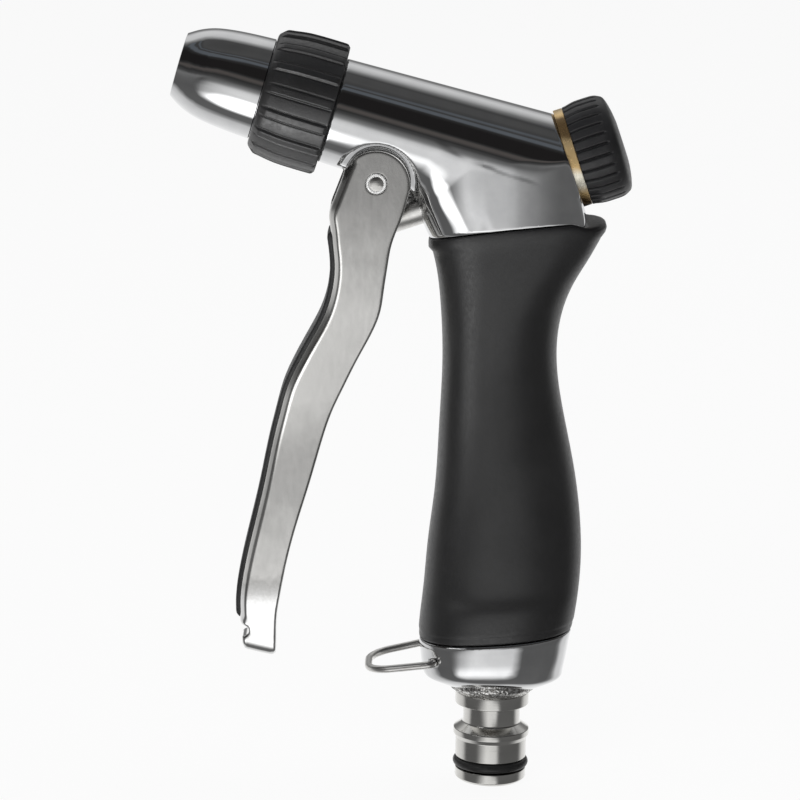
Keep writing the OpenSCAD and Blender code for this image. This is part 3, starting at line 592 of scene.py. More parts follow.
def strip_ring(z):
    """Section of the strip at a height."""
    end = min(z - STRIP_LOW, STRIP_TOP - z)
    rise = 1.25 * math.sqrt(1 - (1 - min(end / 1.6, 1)) ** 2) + 0.02
    half = float(lever_half(z)) - 2.15 - 0.5 * (1 - min(end / 1.2, 1)) ** 2
    front = float(lever_front(z))
    bend = min(0.75, rise * 0.8)
    corner = [(front - rise + bend - bend * math.sin(a), half - bend + bend * math.cos(a))
              for a in np.linspace(0, math.pi / 2, 7)]
    ring = [(front + 0.7, -half + 0.05), (front + 0.7, 0), (front + 0.7, half - 0.05), (front + 0.1, half)]
    ring += corner + [(front - rise - 0.06 * rise, 0)] + [(x, -y) for x, y in reversed(corner)]
    ring.append((front + 0.1, -half))
    return [(x, y, z) for x, y in ring]


strip_levels = np.concatenate([STRIP_LOW + np.array((0, 0.1, 0.3, 0.6, 1, 1.5)), np.linspace(27.5, 112.2, 57),
                               STRIP_TOP - np.array((1.5, 1, 0.6, 0.3, 0.1, 0))])
strip = loft("lever_strip", [strip_ring(float(z)) for z in strip_levels], sharp=45)
tell(strip)

# %% [markdown]
# ## Turned pieces
# The nozzle tip, the plug, the brass ring, the rod, the pin and the O-ring are all turned on a lathe, so each is one
# half section and one spin. Small arcs at the corners catch the light as broken edges do.

# %% Nozzle tip
tip_radius = smooth_line(((0.3, 7.25), (1.6, 8.1), (3.3, 9), (5.3, 9.75), (8.3, 10.4), (12, 10.85), (18.9, 11.3)))
tip_line = [(2.6, 6), (2.6, 2.4), (2.75, 2.1), (5.4, 0.5), (6.2, 0.08), (6.9, 0), (7.12, 0.1)]
tip_stations = np.concatenate([np.linspace(0.3, 6, 24), np.linspace(6.6, 18.9, 20)])
tip_line += turn_line(tip_radius, tip_stations)
tip_line += [(10.8, 19.1), (10.8, 34.9), (8.66, 34.9), (8.66, 22.6), (10.02, 22.6), (10.02, 20.6), (8.66, 20.6),
             (8.66, 12.8), (6.8, 12)]
tip = lathe("tip", tip_line, on_barrel, steps=160)
tell(tip)

# %% Hose plug and its O-ring
plug_line = rounded([
    (4.6, -11.4, 0.2), (7.2, -11.4, 0.5), (8, -10.7, 0.4), (8, -8.6, 0.15), (6.4, -8.6, 0.1), (6.4, -6, 0.1),
    (8, -6, 0.2), (8, -1.6, 0.5), (8.55, -0.6, 0.3), (8.55, 0.6, 0.3), (6.4, 2, 0.6), (6.4, 6.4, 0.15), (8.3, 6.4, 0.3),
    (8.3, 9.3, 0.25), (7.2, 9.3, 0), (7.2, 36, 0.3), (4.6, 36, 0.2)])
plug = lathe("plug", plug_line, on_plug, steps=144)
ring_line = [(7.47 + 1.05 * math.cos(a), -7.3 + 1.05 * math.sin(a)) for a in np.linspace(0, 2 * math.pi, 28, False)]
o_ring = lathe("plug_ring", ring_line, on_plug, steps=144, sharp=180)
tell(plug, o_ring)

# %% Brass ring, rod and pin
brass_line = rounded([
    (3.65, -5.2, 0), (9.2, -5.2, 0.2), (9.2, -0.12, 0), (11.05, -0.12, 0), (11.05, 1.92, 0.22), (3.65, 1.92, 0.1),
    (3.65, -1.4, 0), (5.1, -1.4, 0), (5.1, -3.6, 0), (3.65, -3.6, 0)])
brass = lathe("brass_ring", brass_line, on_valve, steps=160)
dome = [(4 * math.sin(a), -40 - 4 * math.cos(a)) for a in np.linspace(0, math.asin(0.9), 12)]
rod_line = dome + [(3.6, -29), (2.2, -27.7), (2.2, -22.7), (4, -22.1), (4, -19.9), (2, -19.9), (2, -11.9), (0, -11.9)]
rod = lathe("valve_rod", rod_line, on_valve, steps=96)
pin_face = [(0, 9.0), (0.6, 8.98), (1.1, 8.92), (1.45, 8.84), (1.58, 8.82), (1.66, 8.9), (1.74, 9.06), (1.86, 9.14),
            (1.98, 9.12), (2.1, 9.02), (2.24, 8.7), (2.28, 8.5), (2, 8.45)]
pin_line = pin_face + [(r, -z) for r, z in reversed(pin_face)]
pin = lathe("pivot_pin_dressed", pin_line, on_pivot, steps=72)
tell(brass, rod, pin)

# %% [markdown]
# ## Collar and knob
# Both are black mouldings with a repeated grip: sixteen low ribs round the collar, thirty grooves round the knob.
# They are spun with enough columns for the pattern, and the columns are then pushed out or in by a smooth hump.


# %% Collar with ribs
def ring_angles(piece):
    """Radius, angle and height of a turned piece's points on the bench."""
    x, y, z = points_of(piece).T
    return np.hypot(x, y), np.arctan2(y, x), z


def push(piece, amount):
    """Moves points out from the turning axis."""
    rows = points_of(piece)
    radius = np.maximum(np.hypot(rows[:, 0], rows[:, 1]), 1e-6)
    rows[:, :2] *= (1 + amount / radius)[:, None]
    move_points(piece, rows)


collar_radius = smooth_line(((19.7, 12.95), (20.4, 13.35), (21.9, 13.7), (24.9, 14.15), (28.9, 14.35), (32, 14.36),
                             (34.3, 14.33)))
collar_line = [(10.82, 19.15), (11.7, 19.15), (12.15, 19.18), (12.5, 19.32), (12.78, 19.5)]
collar_line += turn_line(collar_radius, np.linspace(19.7, 34.45, 38))
collar_line += [(14.32, 34.6), (14.28, 34.74), (14.19, 34.84), (14.07, 34.89), (13.9, 34.9), (10.82, 34.9)]
RIBS, RIB_PITCH, RIB_TURN = 16, 360 / 16, 0.75
collar = lathe("collar", collar_line, None, steps=RIBS * 40, sharp=50)
radius, angle, height = ring_angles(collar)
across = np.abs(((np.degrees(angle) - RIB_TURN) / RIB_PITCH) % 1 - 0.5) * RIB_PITCH
rib = 1 - ease((across - 2.6) / 1.6)
fade = ease((height - 19.5) / 1.6) * ease((34.75 - height) / 0.5) * (radius > 12)
crease = np.exp(-(((across - 4.6) / 0.75) ** 2))
push(collar, (0.45 * rib - 0.22 * crease) * fade)
set_down(collar, on_barrel)
tell(collar)

# %% Knob with grooves
GROOVES, GROOVE_PITCH = 30, 360 / 30
knob_line = [(3.62, 1.95), (6.4, 1.95), (6.4, 7), (9.6, 7), (9.6, 1.95), (10.95, 1.95), (11.08, 2.02), (11.13, 2.2)]
knob_radius = smooth_line(((2.6, 11.16), (3.2, 11.3), (4.6, 11.56), (6.4, 11.62), (8.2, 11.6), (9.6, 11.38),
                           (10.3, 11.05)))
knob_line += turn_line(knob_radius, np.linspace(2.6, 10.3, 26))
knob_line += [(10.8, 10.75), (10.45, 11.08), (10.0, 11.32), (9.4, 11.52), (8.4, 11.78), (7.2, 12.02), (5.8, 12.22),
              (4.5, 12.34), (4.28, 12.26), (4.2, 12.1), (4.2, 9.1), (1.52, 9.1), (1.52, 7.52), (3.62, 7.52)]
knob = lathe("knob", knob_line, None, steps=GROOVES * 24, sharp=50)
radius, angle, height = ring_angles(knob)
off = (np.degrees(angle) / GROOVE_PITCH) % 1 - 0.5
groove = np.exp(-((off * GROOVE_PITCH / 1.15) ** 2))
fade = ease((9.7 - height) / 0.9) * (radius > 10.5)
push(knob, -0.75 * groove * fade)
set_down(knob, on_valve)
tell(knob)

# %% [markdown]
# ## The wire bail
# A bent wire hooks into the cap and holds the squeezed lever. It is one round section carried along the bends, so the
# rings of a loft are placed square to the wire.

# %% Bail wire
BAIL_LENGTH, BAIL_DROOP, BAIL_TAPER, BAIL_CORNER, WIRE = 14.9, 10.5, 11.9, 6.3, 0.84
HOOK_IN, HOOK_BEND = 3.6, 1.3


def bend(x, y, r, start, end, count):
    """Points of a bend in the wire with the heading at each."""
    return [(x + r * math.cos(math.radians(a)), y + r * math.sin(math.radians(a)), a - 90)
            for a in np.linspace(start, end, count)]


lean = math.radians(BAIL_TAPER)
corner_x = BAIL_LENGTH - BAIL_CORNER
corner_y = BAIL_HALF - corner_x * math.tan(lean) - BAIL_CORNER / math.cos(lean)
hook_y = BAIL_HALF - HOOK_BEND * math.tan(lean) - HOOK_BEND / math.cos(lean)
half_wire = [(0, BAIL_HALF - HOOK_IN, 90)] + bend(HOOK_BEND, hook_y, HOOK_BEND, 180, 90 - BAIL_TAPER, 9)
half_wire += bend(corner_x, corner_y, BAIL_CORNER, 90 - BAIL_TAPER, 0, 25)
wire_path = half_wire + [(x, -y, -180 - heading) for x, y, heading in reversed(half_wire[:-1])]
droop = math.radians(BAIL_DROOP)
wire_rings = []
for x, y, heading in wire_path:
    ring = []
    for a in np.linspace(0, 2 * math.pi, 20, endpoint=False):
        q, up = WIRE * math.cos(a), WIRE * math.sin(a)
        px, py = x - q * math.sin(math.radians(heading)), y + q * math.cos(math.radians(heading))
        ring.append((BAIL_PIVOT[0] - px * math.cos(droop) - up * math.sin(droop), -py,
                     BAIL_PIVOT[2] - px * math.sin(droop) + up * math.cos(droop)))
    wire_rings.append(ring)
bail = loft("bail", wire_rings, sharp=50)
tell(bail)

# %% [markdown]
# ## The rough boss
# The casting's underside was never polished: it is a ring of coarse, sparkling grains. Real grains need real bumps,
# so the ring is spun with many columns and each point is moved by a seeded random amount.

# %% Boss with cast grains
boss_curve = smooth_line(((9.32, 8.35), (9.7, 8.8), (10.2, 9.4), (10.8, 10), (11.6, 10.2), (13.4, 10)))
boss_line = [(7.24, 9.32), (8.2, 9.32)] + turn_line(boss_curve, np.linspace(9.38, 13.4, 22)) + [(7.24, 13.4)]
boss = lathe("cap_boss", boss_line, None, steps=260, sharp=12)
rows = points_of(boss)
grains = np.random.default_rng(7)
lift = grains.normal(0, 1, len(rows))
outer = (np.hypot(rows[:, 0], rows[:, 1]) > 8.3) & (rows[:, 2] > 9.45)
rows[:, :2] *= (1 + 0.07 * np.where(outer, np.clip(lift, -1.4, 1.4), 0) / np.hypot(rows[:, 0], rows[:, 1]))[:, None]
move_points(boss, rows)
set_down(boss, on_plug)
tell(boss)

# %% [markdown]
# ## Finishes
# Every finish is a small node tree on Object coordinates: a grain that changes the roughness, a bump at the scale of
# the real surface, and a little change of colour. A painted picture would need every piece unwrapped first; a grain
# needs nothing of the kind. Chrome gets faint waves and haze, nickel gets brushing, rubber and plastic get a fine
# moulded grain. The lever and the brass ring also carry soft bands of painted reflection along their height: a satin
# metal shows the room only as broad light and dark, and that light and dark is painted into their colour.


# %% Node tools
def add_node(tree, kind, inputs, **settings):
    """A new node; each input is a value, or the socket that feeds it."""
    node = tree.nodes.new(kind)
    for key, value in settings.items():
        setattr(node, key, value)
    for key, value in inputs.items():
        if isinstance(value, bpy.types.NodeSocket):
            tree.links.new(value, node.inputs[key])
        else:
            node.inputs[key].default_value = value
    return node


def mix(tree, share, one, two, data_type="RGBA", blend_type="MIX"):
    """Two colours or numbers mixed by a share."""
    inputs = {"Factor": share, "A": one, "B": two}
    return add_node(tree, "ShaderNodeMix", inputs, data_type=data_type, blend_type=blend_type).outputs["Result"]


def ramp(tree, value, stops):
    """Colours along a number from 0 to 1, as (place, colour) stops; a plain number is a grey."""
    node = add_node(tree, "ShaderNodeValToRGB", {"Fac": value})
    marks = node.color_ramp.elements
    while len(marks) < len(stops):
        marks.new(1.0)
    for mark, (place, tone) in zip(marks, stops):
        mark.position = place
        mark.color = (*tone, 1) if isinstance(tone, tuple) else (tone, tone, tone, 1)
    return node.outputs["Color"]


# %% Finish tools
class Finish:
    """A material with a principled shader and short calls for its textures."""

    def __init__(self, name, colour, metal, rough):
        self.made = bpy.data.materials.new(name)
        self.made.use_nodes = True
        self.tree = self.made.node_tree
        self.shader = self.tree.nodes["Principled BSDF"]
        self.shader.inputs["Base Color"].default_value = (*colour, 1)
        self.shader.inputs["Metallic"].default_value = metal
        self.shader.inputs["Roughness"].default_value = rough
        self.place = self.tree.nodes.new("ShaderNodeTexCoord").outputs["Object"]

    def feed(self, key, value):
        """Links a value to the shader."""
        self.tree.links.new(value, self.shader.inputs[key])

    def grain(self, scale, detail=3, stretch=(1, 1, 1), turn=0, rough=0.5):
        """A noise on Object coordinates, stretched and turned about Y."""
        way = add_node(self.tree, "ShaderNodeMapping", {
            "Vector": self.place, "Scale": stretch, "Rotation": (0, math.radians(turn), 0)})
        return add_node(self.tree, "ShaderNodeTexNoise", {
            "Vector": way.outputs["Vector"], "Scale": scale, "Detail": detail, "Roughness": rough}).outputs["Fac"]

    def span(self, value, low, high, start=0.3, end=0.7):
        """Spreads a grain over a range."""
        return add_node(self.tree, "ShaderNodeMapRange", {
            "Value": value, "From Min": start, "From Max": end, "To Min": low, "To Max": high}).outputs["Result"]

    def height(self, low, high, ragged=None, wander=0):
        """A step from 0 to 1 up the Object Z, with a ragged edge if a grain is given."""
        level = add_node(self.tree, "ShaderNodeSeparateXYZ", {"Vector": self.place}).outputs["Z"]
        if ragged is not None:
            shift = self.span(ragged, -wander, wander)
            level = add_node(self.tree, "ShaderNodeMath", {0: level, 1: shift}, operation="ADD").outputs["Value"]
        return self.span(level, 0, 1, low, high)

    def bands(self, share, base, low, high, tones, wander=0.004):
        """A base colour that gives way, along the height, to bands of colours or warm greys: painted reflection, the
        room's light and dark painted into the colour.
        """
        stops = [((level - low) / (high - low), tone if isinstance(tone, tuple) else (tone, tone * 0.99, tone * 0.965))
                 for level, tone in tones]
        colours = ramp(self.tree, self.height(low, high, self.grain(160, 3), wander), stops)
        self.feed("Base Color", mix(self.tree, share, (*base, 1), colours))

    def bump(self, value, depth, strength=1.0):
        """A bump of a depth in metres."""
        node = add_node(self.tree, "ShaderNodeBump", {"Height": value, "Strength": strength, "Distance": depth})
        self.feed("Normal", node.outputs["Normal"])


def dressed(name, colour, metal, rough, haze, bump, tones):
    """A finish with the usual layers, each on a grain: haze on the roughness, a bump, and two tones of colour."""
    made = Finish(name, colour, metal, rough)
    grain, *reach = haze
    made.feed("Roughness", made.span(made.grain(*grain), *reach))
    grain, *depth = bump
    made.bump(made.grain(*grain), *depth)
    grain, dark, light, *reach = tones
    share = made.span(made.grain(*grain), 0, 1, *reach)
    made.feed("Base Color", mix(made.tree, share, (*dark, 1), (*light, 1)))
    return made


# %% Metal finishes
chrome = dressed("mirror_chrome", (0.83, 0.835, 0.845), 1, 0.06, ((140, 4), 0.015, 0.045), ((90, 2), 0.00001, 0.5),
                 ((260, 4), (0.78, 0.785, 0.795), (0.86, 0.865, 0.87)))
turned = dressed("turned_nickel", (0.8, 0.785, 0.75), 1, 0.16, ((500, 2, (0.05, 0.05, 6)), 0.1, 0.2),
                 ((700, 2, (0.02, 0.02, 6)), 0.000015, 0.5), ((180, 3), (0.8, 0.79, 0.76), (0.9, 0.89, 0.86)))
rivet = dressed("burnished_rivet", (0.93, 0.93, 0.92), 0.15, 0.35, ((1200, 3), 0.28, 0.42), ((2000, 2), 0.00001, 0.5),
                ((800, 3), (0.9, 0.9, 0.89), (0.95, 0.95, 0.945)))
cast = dressed("rough_cast", (0.88, 0.875, 0.86), 1, 0.16, ((2500, 2), 0.08, 0.26), ((2600, 3), 0.00012, 0.7),
               ((2100, 3), (0.38, 0.37, 0.35), (0.98, 0.975, 0.96), 0.44, 0.56))
wire = dressed("bright_wire", (0.92, 0.91, 0.89), 1, 0.34, ((900, 3), 0.3, 0.38), ((400, 2), 0.000004, 0.4),
               ((500, 3), (0.88, 0.87, 0.84), (0.97, 0.96, 0.94)))
print("metal finishes:", len(bpy.data.materials))

# %% Metals with painted reflection bands
BRUSHING = -12
satin = Finish("satin_nickel", (0.66, 0.65, 0.62), 1, 0.2)
foot = satin.height(0.0295, 0.0345, satin.grain(1500, 2), 0.0007)
brushed = satin.span(satin.grain(900, 3, (1, 1, 0.35), BRUSHING), 0.16, 0.27)
satin.feed("Roughness", mix(satin.tree, foot, 0.06, brushed, "FLOAT"))
satin.bump(satin.grain(1800, 3, (1, 1, 0.5), BRUSHING), 0.000012, 0.5)
# Painted reflection: the lever's colour gets lighter and darker in bands up its height, in place of the room's light
# and dark on satin nickel; the polished foot keeps its plain pale base.
satin.bands(foot, (0.93, 0.93, 0.925), 0.03, 0.13, (
    (0.033, 0.66), (0.036, 0.88), (0.045, 0.77), (0.054, 0.63), (0.062, 0.59), (0.07, 0.72), (0.078, 0.86),
    (0.086, 0.86), (0.095, 0.92), (0.102, 0.86), (0.11, 0.76), (0.122, 0.62), (0.13, 0.58)))
# Painted reflection on the brass ring: dark brown bands of painted dark reflection and a near-white band of painted
# highlight run round it at set heights, between bands of plain brass.
PAINTED_DARK_BAND, MID, PAINTED_HIGHLIGHT = (0.2, 0.13, 0.06), (0.8, 0.56, 0.26), (1.0, 0.95, 0.8)
gold = Finish("polished_brass", (0.93, 0.72, 0.38), 0.6, 0.3)
gold.feed("Roughness", gold.span(gold.grain(700, 3), 0.2, 0.32))
gold.bump(gold.grain(300, 2), 0.00001, 0.5)
gold.bands(gold.height(0, 0.001), MID, 0.12, 0.142, (
    (0.12, (0.1, 0.06, 0.03)), (0.1222, PAINTED_DARK_BAND), (0.1238, MID), (0.126, PAINTED_HIGHLIGHT), (0.1292, PAINTED_HIGHLIGHT), (0.1305, MID),
    (0.1362, (0.7, 0.52, 0.28)), (0.1374, PAINTED_DARK_BAND), (0.1396, PAINTED_DARK_BAND), (0.1402, MID), (0.142, (0.85, 0.66, 0.38))), 0.0006)
print("banded metals:", satin.made.name, gold.made.name)

# %% Black finishes
rubber = dressed("grip_rubber", (0.013, 0.013, 0.0135), 0, 0.42, ((1300, 3), 0.32, 0.44),
                 ((2600, 3, (1, 1, 1), 0, 0.7), 0.00005, 0.5),
                 ((90, 3), (0.011, 0.011, 0.0115), (0.017, 0.017, 0.0175)))
strip_rubber = dressed("strip_rubber", (0.02, 0.02, 0.02), 0, 0.45, ((1500, 3), 0.38, 0.55), ((3000, 2), 0.00004, 0.5),
                       ((120, 3), (0.016, 0.016, 0.017), (0.027, 0.027, 0.027)))
plastic = dressed("collar_plastic", (0.014, 0.014, 0.0145), 0, 0.4, ((1400, 3), 0.34, 0.5), ((2600, 3), 0.00004, 0.5),
                  ((150, 3), (0.011, 0.011, 0.0115), (0.017, 0.017, 0.0175)))
knob_plastic = dressed("knob_plastic", (0.02, 0.02, 0.021), 0, 0.38, ((1500, 3), 0.32, 0.46), ((2800, 3), 0.00004, 0.5),
                       ((150, 3), (0.015, 0.015, 0.016), (0.024, 0.024, 0.025)))
seal = dressed("seal_rubber", (0.016, 0.016, 0.016), 0, 0.35, ((900, 3), 0.28, 0.42), ((1600, 2), 0.00003, 0.4),
               ((300, 2), (0.012, 0.012, 0.012), (0.022, 0.022, 0.022)))
for finish, sheen in ((rubber, 0.95), (plastic, 1.0), (knob_plastic, 0.7)):
    finish.shader.inputs["Specular IOR Level"].default_value = sheen
plastic.shader.inputs["IOR"].default_value = 1.75
print("finishes:", len(bpy.data.materials))

# %% [markdown]
# ## Seats
# Each piece gets its finish and rides on the body that carries it, and the CAD nodes that it stands for are hidden. The
# small inner parts keep their CAD solids and only get a finish.

# %% Seat every piece
SEATS = (
    (body, chrome, "frame", "chrome", ("body_casting",)),
    (cap, chrome, "frame", "chrome", ("base_cap",)),
    (boss, cast, "frame", "chrome", ()),
    (grip, rubber, "frame", "grip_rubber", ("grip_sleeve",)),
    (plug, turned, "frame", "turned_nickel", ("hose_plug",)),
    (o_ring, seal, "frame", "seal_rubber", ("plug_o_ring",)),
    (brass, gold, "frame", "brass", ("brass_bush",)),
    (pin, rivet, "frame", "turned_nickel", ("pivot_pin",)),
    (lever, satin, "lever", "satin_nickel", ("squeeze_lever",)),
    (strip, strip_rubber, "lever", "pad_rubber", ("lever_pad",)),
    (rod, wire, "stem", "turned_nickel", ("valve_stem",)),
    (tip, chrome, "nozzle", "chrome", ("nozzle_tip",)),
    (collar, plastic, "nozzle", "collar_plastic", ("nozzle_collar",)),
    (knob, knob_plastic, "knob", "knob_plastic", ("flow_knob",)),
    (bail, wire, "bail", "spring_steel", ("hold_open_bail",)),
)
for piece, finish, body_name, slot, nodes in SEATS:
    piece.data.materials.clear()
    piece.data.materials.append(finish.made)
    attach(piece, body_name)
    if nodes:
        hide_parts(*nodes)
pin.data.materials.append(turned.made)
for face in pin.data.polygons:
    spot = np.array(face.center) / MM - PIVOT
    face.material_index = int(math.hypot(spot[0], spot[2]) < 1.6)
KEPT = {
    "plug_washer": seal, "bush_gasket": seal, "sleeve_o_ring": seal, "stem_o_ring": seal, "valve_disc": seal,
    "nozzle_o_ring": seal, "jet_needle": gold, "disc_washer": gold, "flow_sleeve": gold, "stem_nut": turned,
    "knob_screw": turned, "return_spring": wire,
}
for node, finish in KEPT.items():
    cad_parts[node].data.materials.clear()
    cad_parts[node].data.materials.append(finish.made)
print(len(SEATS), "new pieces and", len(KEPT), "CAD solids")

# %% [markdown]
# ## Floor
# The floor only takes the shadow. A plain sheet would also show how unevenly the lamps fall on it, so most of what the
# camera sees of it shines by itself, and the rest is matt paper that darkens under the nozzle. Mirrors don't see it,
# because the room below is painted too.

# %% Floor
clear_bench()
bpy.ops.mesh.primitive_plane_add(size=16, location=(0, 0, FLOOR_Z * MM))
floor = bpy.context.object
floor.name = "floor"
bpy.ops.object.transform_apply(location=True, rotation=True, scale=True)
PAPER_GLOW = 0.93
paper = bpy.data.materials.new("floor_paper")
paper.use_nodes = True
sheet = paper.node_tree
sheet.nodes.clear()
matt = add_node(sheet, "ShaderNodeBsdfDiffuse", {"Color": (0.9, 0.9, 0.9, 1)}).outputs["BSDF"]
lit = add_node(sheet, "ShaderNodeEmission", {"Color": (1, 1, 1, 1), "Strength": 1.0}).outputs["Emission"]
eye = add_node(sheet, "ShaderNodeLightPath", {}).outputs["Is Camera Ray"]
share = add_node(sheet, "ShaderNodeMath", {0: eye, 1: PAPER_GLOW}, operation="MULTIPLY").outputs["Value"]
both = add_node(sheet, "ShaderNodeMixShader", {"Fac": share, 1: matt, 2: lit}).outputs["Shader"]
add_node(sheet, "ShaderNodeOutputMaterial", {"Surface": both})
floor.data.materials.append(paper)
floor.visible_glossy = False
print("floor at", FLOOR_Z, "mm")

# %% [markdown]
# ## The room in the mirror
# Chrome has no colour of its own: it shows the room. Walls and cards could be built round it, but each of them would
# also light the black pieces, so the room is painted on the world by direction. It is dark round the camera, with thin
# brown and blue bands overhead, and has a pale wall behind the nozzle and one broad pale patch below the camera, to
# the left. A slow waver bends the edges. The camera itself sees plain white.

# %% Room tools
world = bpy.data.worlds.new("room")
bpy.context.scene.world = world
world.use_nodes = True
room = world.node_tree
room.nodes.clear()
WAVER = 0.2


def vector_node(operation, inputs):
    """A step of vector arithmetic in the room."""
    return add_node(room, "ShaderNodeVectorMath", inputs, operation=operation).outputs


look = add_node(room, "ShaderNodeTexCoord", {}).outputs["Generated"]
waver = add_node(room, "ShaderNodeTexNoise", {"Vector": look, "Scale": 3.0, "Detail": 2.0}).outputs["Color"]
drift = vector_node("MULTIPLY_ADD", {0: waver, 1: (WAVER,) * 3, 2: look})["Vector"]
drift = vector_node("SUBTRACT", {0: drift, 1: (WAVER / 2,) * 3})["Vector"]
gaze = vector_node("NORMALIZE", {0: drift})["Vector"]


def toward(way, steady=False):
    """How far a look goes along a direction, as a number from -1 to 1; a steady one takes no part in the waver."""
    return vector_node("DOT_PRODUCT", {0: look if steady else gaze, 1: Vector(way).normalized()})["Value"]


def shade(value, stops):
    """Greys or colours along a number from -1 to 1, as (number, shade) stops."""
    spread = add_node(room, "ShaderNodeMapRange", {"Value": value, "From Min": -1, "From Max": 1}).outputs["Result"]
    return ramp(room, spread, [((spot + 1) / 2, tone) for spot, tone in stops])


def blend(kind, share, one, two):
    """Two layers of the room mixed."""
    return mix(room, share, one, two, blend_type=kind)


def aim_at(turn_left, rise):
    """Direction seen from the nozzle: degrees to the left of the camera and degrees up."""
    a, e = math.radians(turn_left), math.radians(rise)
    return (-math.sin(a) * math.cos(e), -math.cos(a) * math.cos(e), math.sin(e))


# %% Dark half and pale wall
BLACK, BROWN, BLUE = (0.014, 0.013, 0.013), (0.08, 0.072, 0.068), (0.095, 0.105, 0.118)
upward, upward_steady = toward((0, 0, 1)), toward((0, 0, 1), True)
rightward, rightward_steady = toward((1, 0, 0)), toward((1, 0, 0), True)
forward = toward(aim_at(0, 12))
dark = shade(upward, (
    (-0.9, 0.12), (-0.35, 0.1), (-0.1, 0.12), (0.03, 0.16), (0.12, 0.06), (0.24, 0.03), (0.33, BROWN), (0.38, BROWN),
    (0.44, 0.03), (0.5, BLACK), (0.74, BLACK), (0.8, 0.03), (0.83, BLUE), (0.87, BLUE), (0.885, 0.045), (0.9, 0.05),
    (0.915, BLUE), (0.93, 0.05), (0.955, 0.07), (1, 0.06)))
wall = shade(forward, (
    (-1, 0.95), (-0.94, 0.9), (-0.8, 0.8), (-0.55, 0.7), (-0.3, 0.57), (-0.2, 0.36), (-0.05, 0.1), (0.05, 0)))
wall_right = shade(forward, (
    (-1, 0.95), (-0.8, 0.8), (-0.55, 0.6), (-0.4, 0.33), (-0.3, 0.18), (-0.2, 0.11), (-0.05, 0.08), (0.05, 0)))
wall = blend("MIX", shade(rightward_steady, ((0.15, 0), (0.35, 1))), wall, wall_right)
lift = shade(upward, (
    (-0.06, 1), (0.03, 0.75), (0.12, 0.26), (0.22, 0.19), (0.31, 0.22), (0.42, 0.34), (0.53, 0.68), (0.62, 0.9),
    (0.8, 1)))
seen = blend("LIGHTEN", 1.0, dark, blend("MULTIPLY", 1.0, wall, lift))

# %% Pale patch below the camera
patch_on = shade(toward(aim_at(12, -27)), ((0.8, 0.0), (0.84, 0.35), (0.88, 0.85), (0.9, 1)))
glow = shade(upward_steady, (
    (-0.9, 0.25), (-0.848, 0.3), (-0.788, 0.5), (-0.719, 0.85), (-0.67, 1.15), (-0.6, 1.15), (-0.54, 0.95),
    (-0.5, 0.76), (-0.454, 0.7), (-0.292, 0.72), (-0.208, 0.64), (-0.15, 0.55), (-0.105, 0.38), (-0.06, 0.24),
    (0, 0.16), (0.07, 0.1)))
fade = shade(rightward_steady, (
    (-0.75, 0.2), (-0.6, 0.45), (-0.5, 0.8), (-0.4, 1), (-0.19, 1.15), (-0.07, 1.04), (0, 0.98), (0.035, 0.84),
    (0.06, 0.64), (0.09, 0.5), (0.17, 0.37), (0.34, 0.27), (0.75, 0.18)))
fade_low = shade(rightward_steady, (
    (-0.75, 0.25), (-0.6, 0.5), (-0.5, 0.9), (-0.3, 1.1), (0, 1), (0.27, 0.95), (0.4, 0.7), (0.55, 0.45)))
fade = blend("MIX", shade(upward_steady, ((-0.28, 0), (-0.2, 1))), fade_low, fade)
dim_left = shade(upward_steady, (
    (-0.66, 1), (-0.56, 0.95), (-0.48, 0.75), (-0.36, 0.6), (-0.22, 0.45), (-0.1, 0.4)))
far_left = shade(rightward, ((-0.5, 0.9), (-0.22, 0)))
patch = blend("MULTIPLY", far_left, blend("MULTIPLY", 1.0, glow, fade), dim_left)
seen = blend("MIX", patch_on, seen, patch)

# %% Hang the room on the world
dim = add_node(room, "ShaderNodeBackground", {"Color": seen, "Strength": 1.0}).outputs["Background"]
white = add_node(room, "ShaderNodeBackground", {"Color": (1, 1, 1, 1)}).outputs["Background"]
eye = add_node(room, "ShaderNodeLightPath", {}).outputs["Is Camera Ray"]
both = add_node(room, "ShaderNodeMixShader", {"Fac": eye, 1: dim, 2: white}).outputs["Shader"]
add_node(room, "ShaderNodeOutputWorld", {"Surface": both})
print("room:", len(room.nodes), "nodes")

# %% [markdown]
# ## Lamps
# Two broad lamps light the rubber and the floor and stay out of the mirrors. The third is the opposite: a small card
# with a soft edge near the head, seen in reflections alone. It draws the bright streak on the head's front. It could be
# painted in the room, but then the nozzle tip would show it too; a near card stays on the head.


# %% Lamps
def soft_lamp(name, spot, aim, size, watts, glossy):
    """A square soft light that looks at a point."""
    lamp = bpy.data.lights.new(name, "AREA")
    lamp.shape, lamp.size, lamp.energy = "SQUARE", size, watts
    hung = bpy.data.objects.new(name, lamp)
    bpy.context.scene.collection.objects.link(hung)
    hung.location = spot
    hung.rotation_euler = (Vector(aim) - Vector(spot)).to_track_quat("-Z", "Y").to_euler()
    hung.visible_glossy, hung.visible_diffuse, hung.visible_camera = glossy, not glossy, False
    return lamp


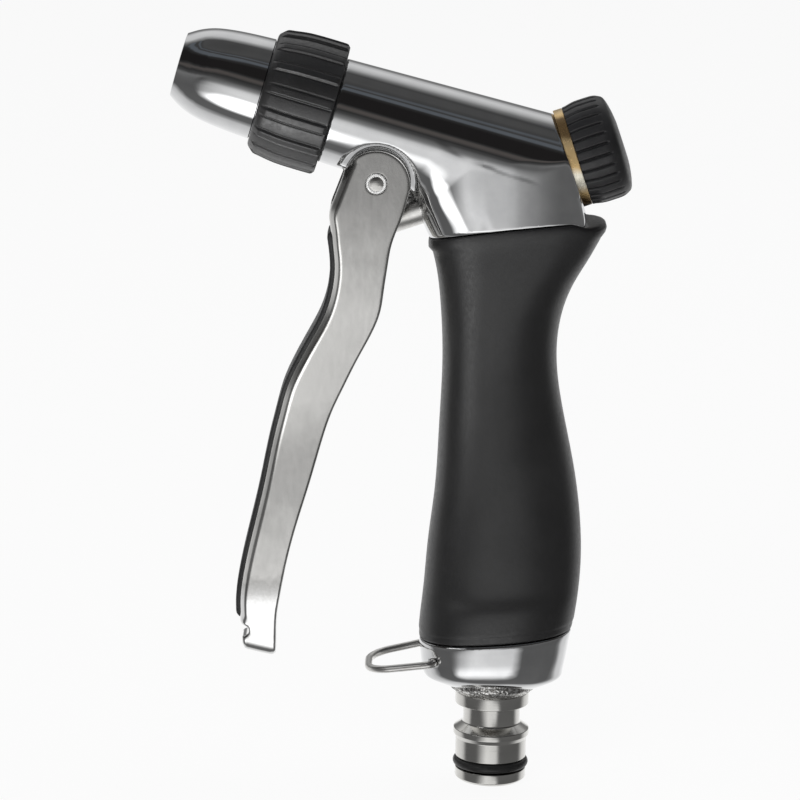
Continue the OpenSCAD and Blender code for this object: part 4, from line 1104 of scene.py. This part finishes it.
soft_lamp("fill_front", (-0.5, -1.2, 0.5), (0, 0, 0.07), 1.0, 14, False)
soft_lamp("fill_top", (0.3, 0.4, 1.3), (0, 0, 0.07), 1.0, 6, False)
card = soft_lamp("card_left", (-0.08, -0.073, 0.077), (-0.014, -0.011, 0.123), 0.075, 0.0236, True)
card.use_nodes = True
tree = card.node_tree
spot = add_node(tree, "ShaderNodeNewGeometry", {}).outputs["Parametric"]
reach = add_node(tree, "ShaderNodeVectorMath", {0: spot, 1: (0.5, 0.5, 0)}, operation="DISTANCE").outputs["Value"]
edge = {"Value": reach, "From Min": 0.27, "From Max": 0.5, "To Min": 1, "To Max": 0}
edge = add_node(tree, "ShaderNodeMapRange", edge, interpolation_type="SMOOTHSTEP").outputs["Result"]
tree.links.new(edge, tree.nodes["Emission"].inputs["Strength"])
print("lamps:", len(bpy.data.lights))

# %% [markdown]
# ## Camera
# The camera stands a little above the grip and looks down on it, with a slight roll. The lens is long, as it is for a
# small thing seen from a distance, so that the far side is hardly smaller than the near one.

# %% Camera
PITCH, ROLL, FOCAL_PX, FRAME_PX = math.radians(12), math.radians(1.2), 3660, 800
CAMERA_AT = (-0.02219, -0.7964, 0.24498)
ahead = Vector((0, math.cos(PITCH), -math.sin(PITCH)))
level_up = Vector((0, math.sin(PITCH), math.cos(PITCH)))
right = Vector((1, 0, 0)) * math.cos(ROLL) + level_up * math.sin(ROLL)
up = Vector((-1, 0, 0)) * math.sin(ROLL) + level_up * math.cos(ROLL)
lens = bpy.data.cameras.new("camera")
lens.sensor_width, lens.lens = 36, 36 * FOCAL_PX / FRAME_PX
lens.clip_start, lens.clip_end = 0.01, 100
camera = bpy.data.objects.new("camera", lens)
bpy.context.scene.collection.objects.link(camera)
axes = (right, up, -ahead, CAMERA_AT)
camera.matrix_world = Matrix([[axis[row] for axis in axes] for row in range(3)] + [[0, 0, 0, 1]])
bpy.context.scene.camera = camera
bpy.context.scene.view_settings.view_transform = "Standard"
print("lens:", round(lens.lens, 1), "mm")

# %% [markdown]
# ## The end
# The view layer is brought up to date.

# %% The end
bpy.context.view_layer.update()
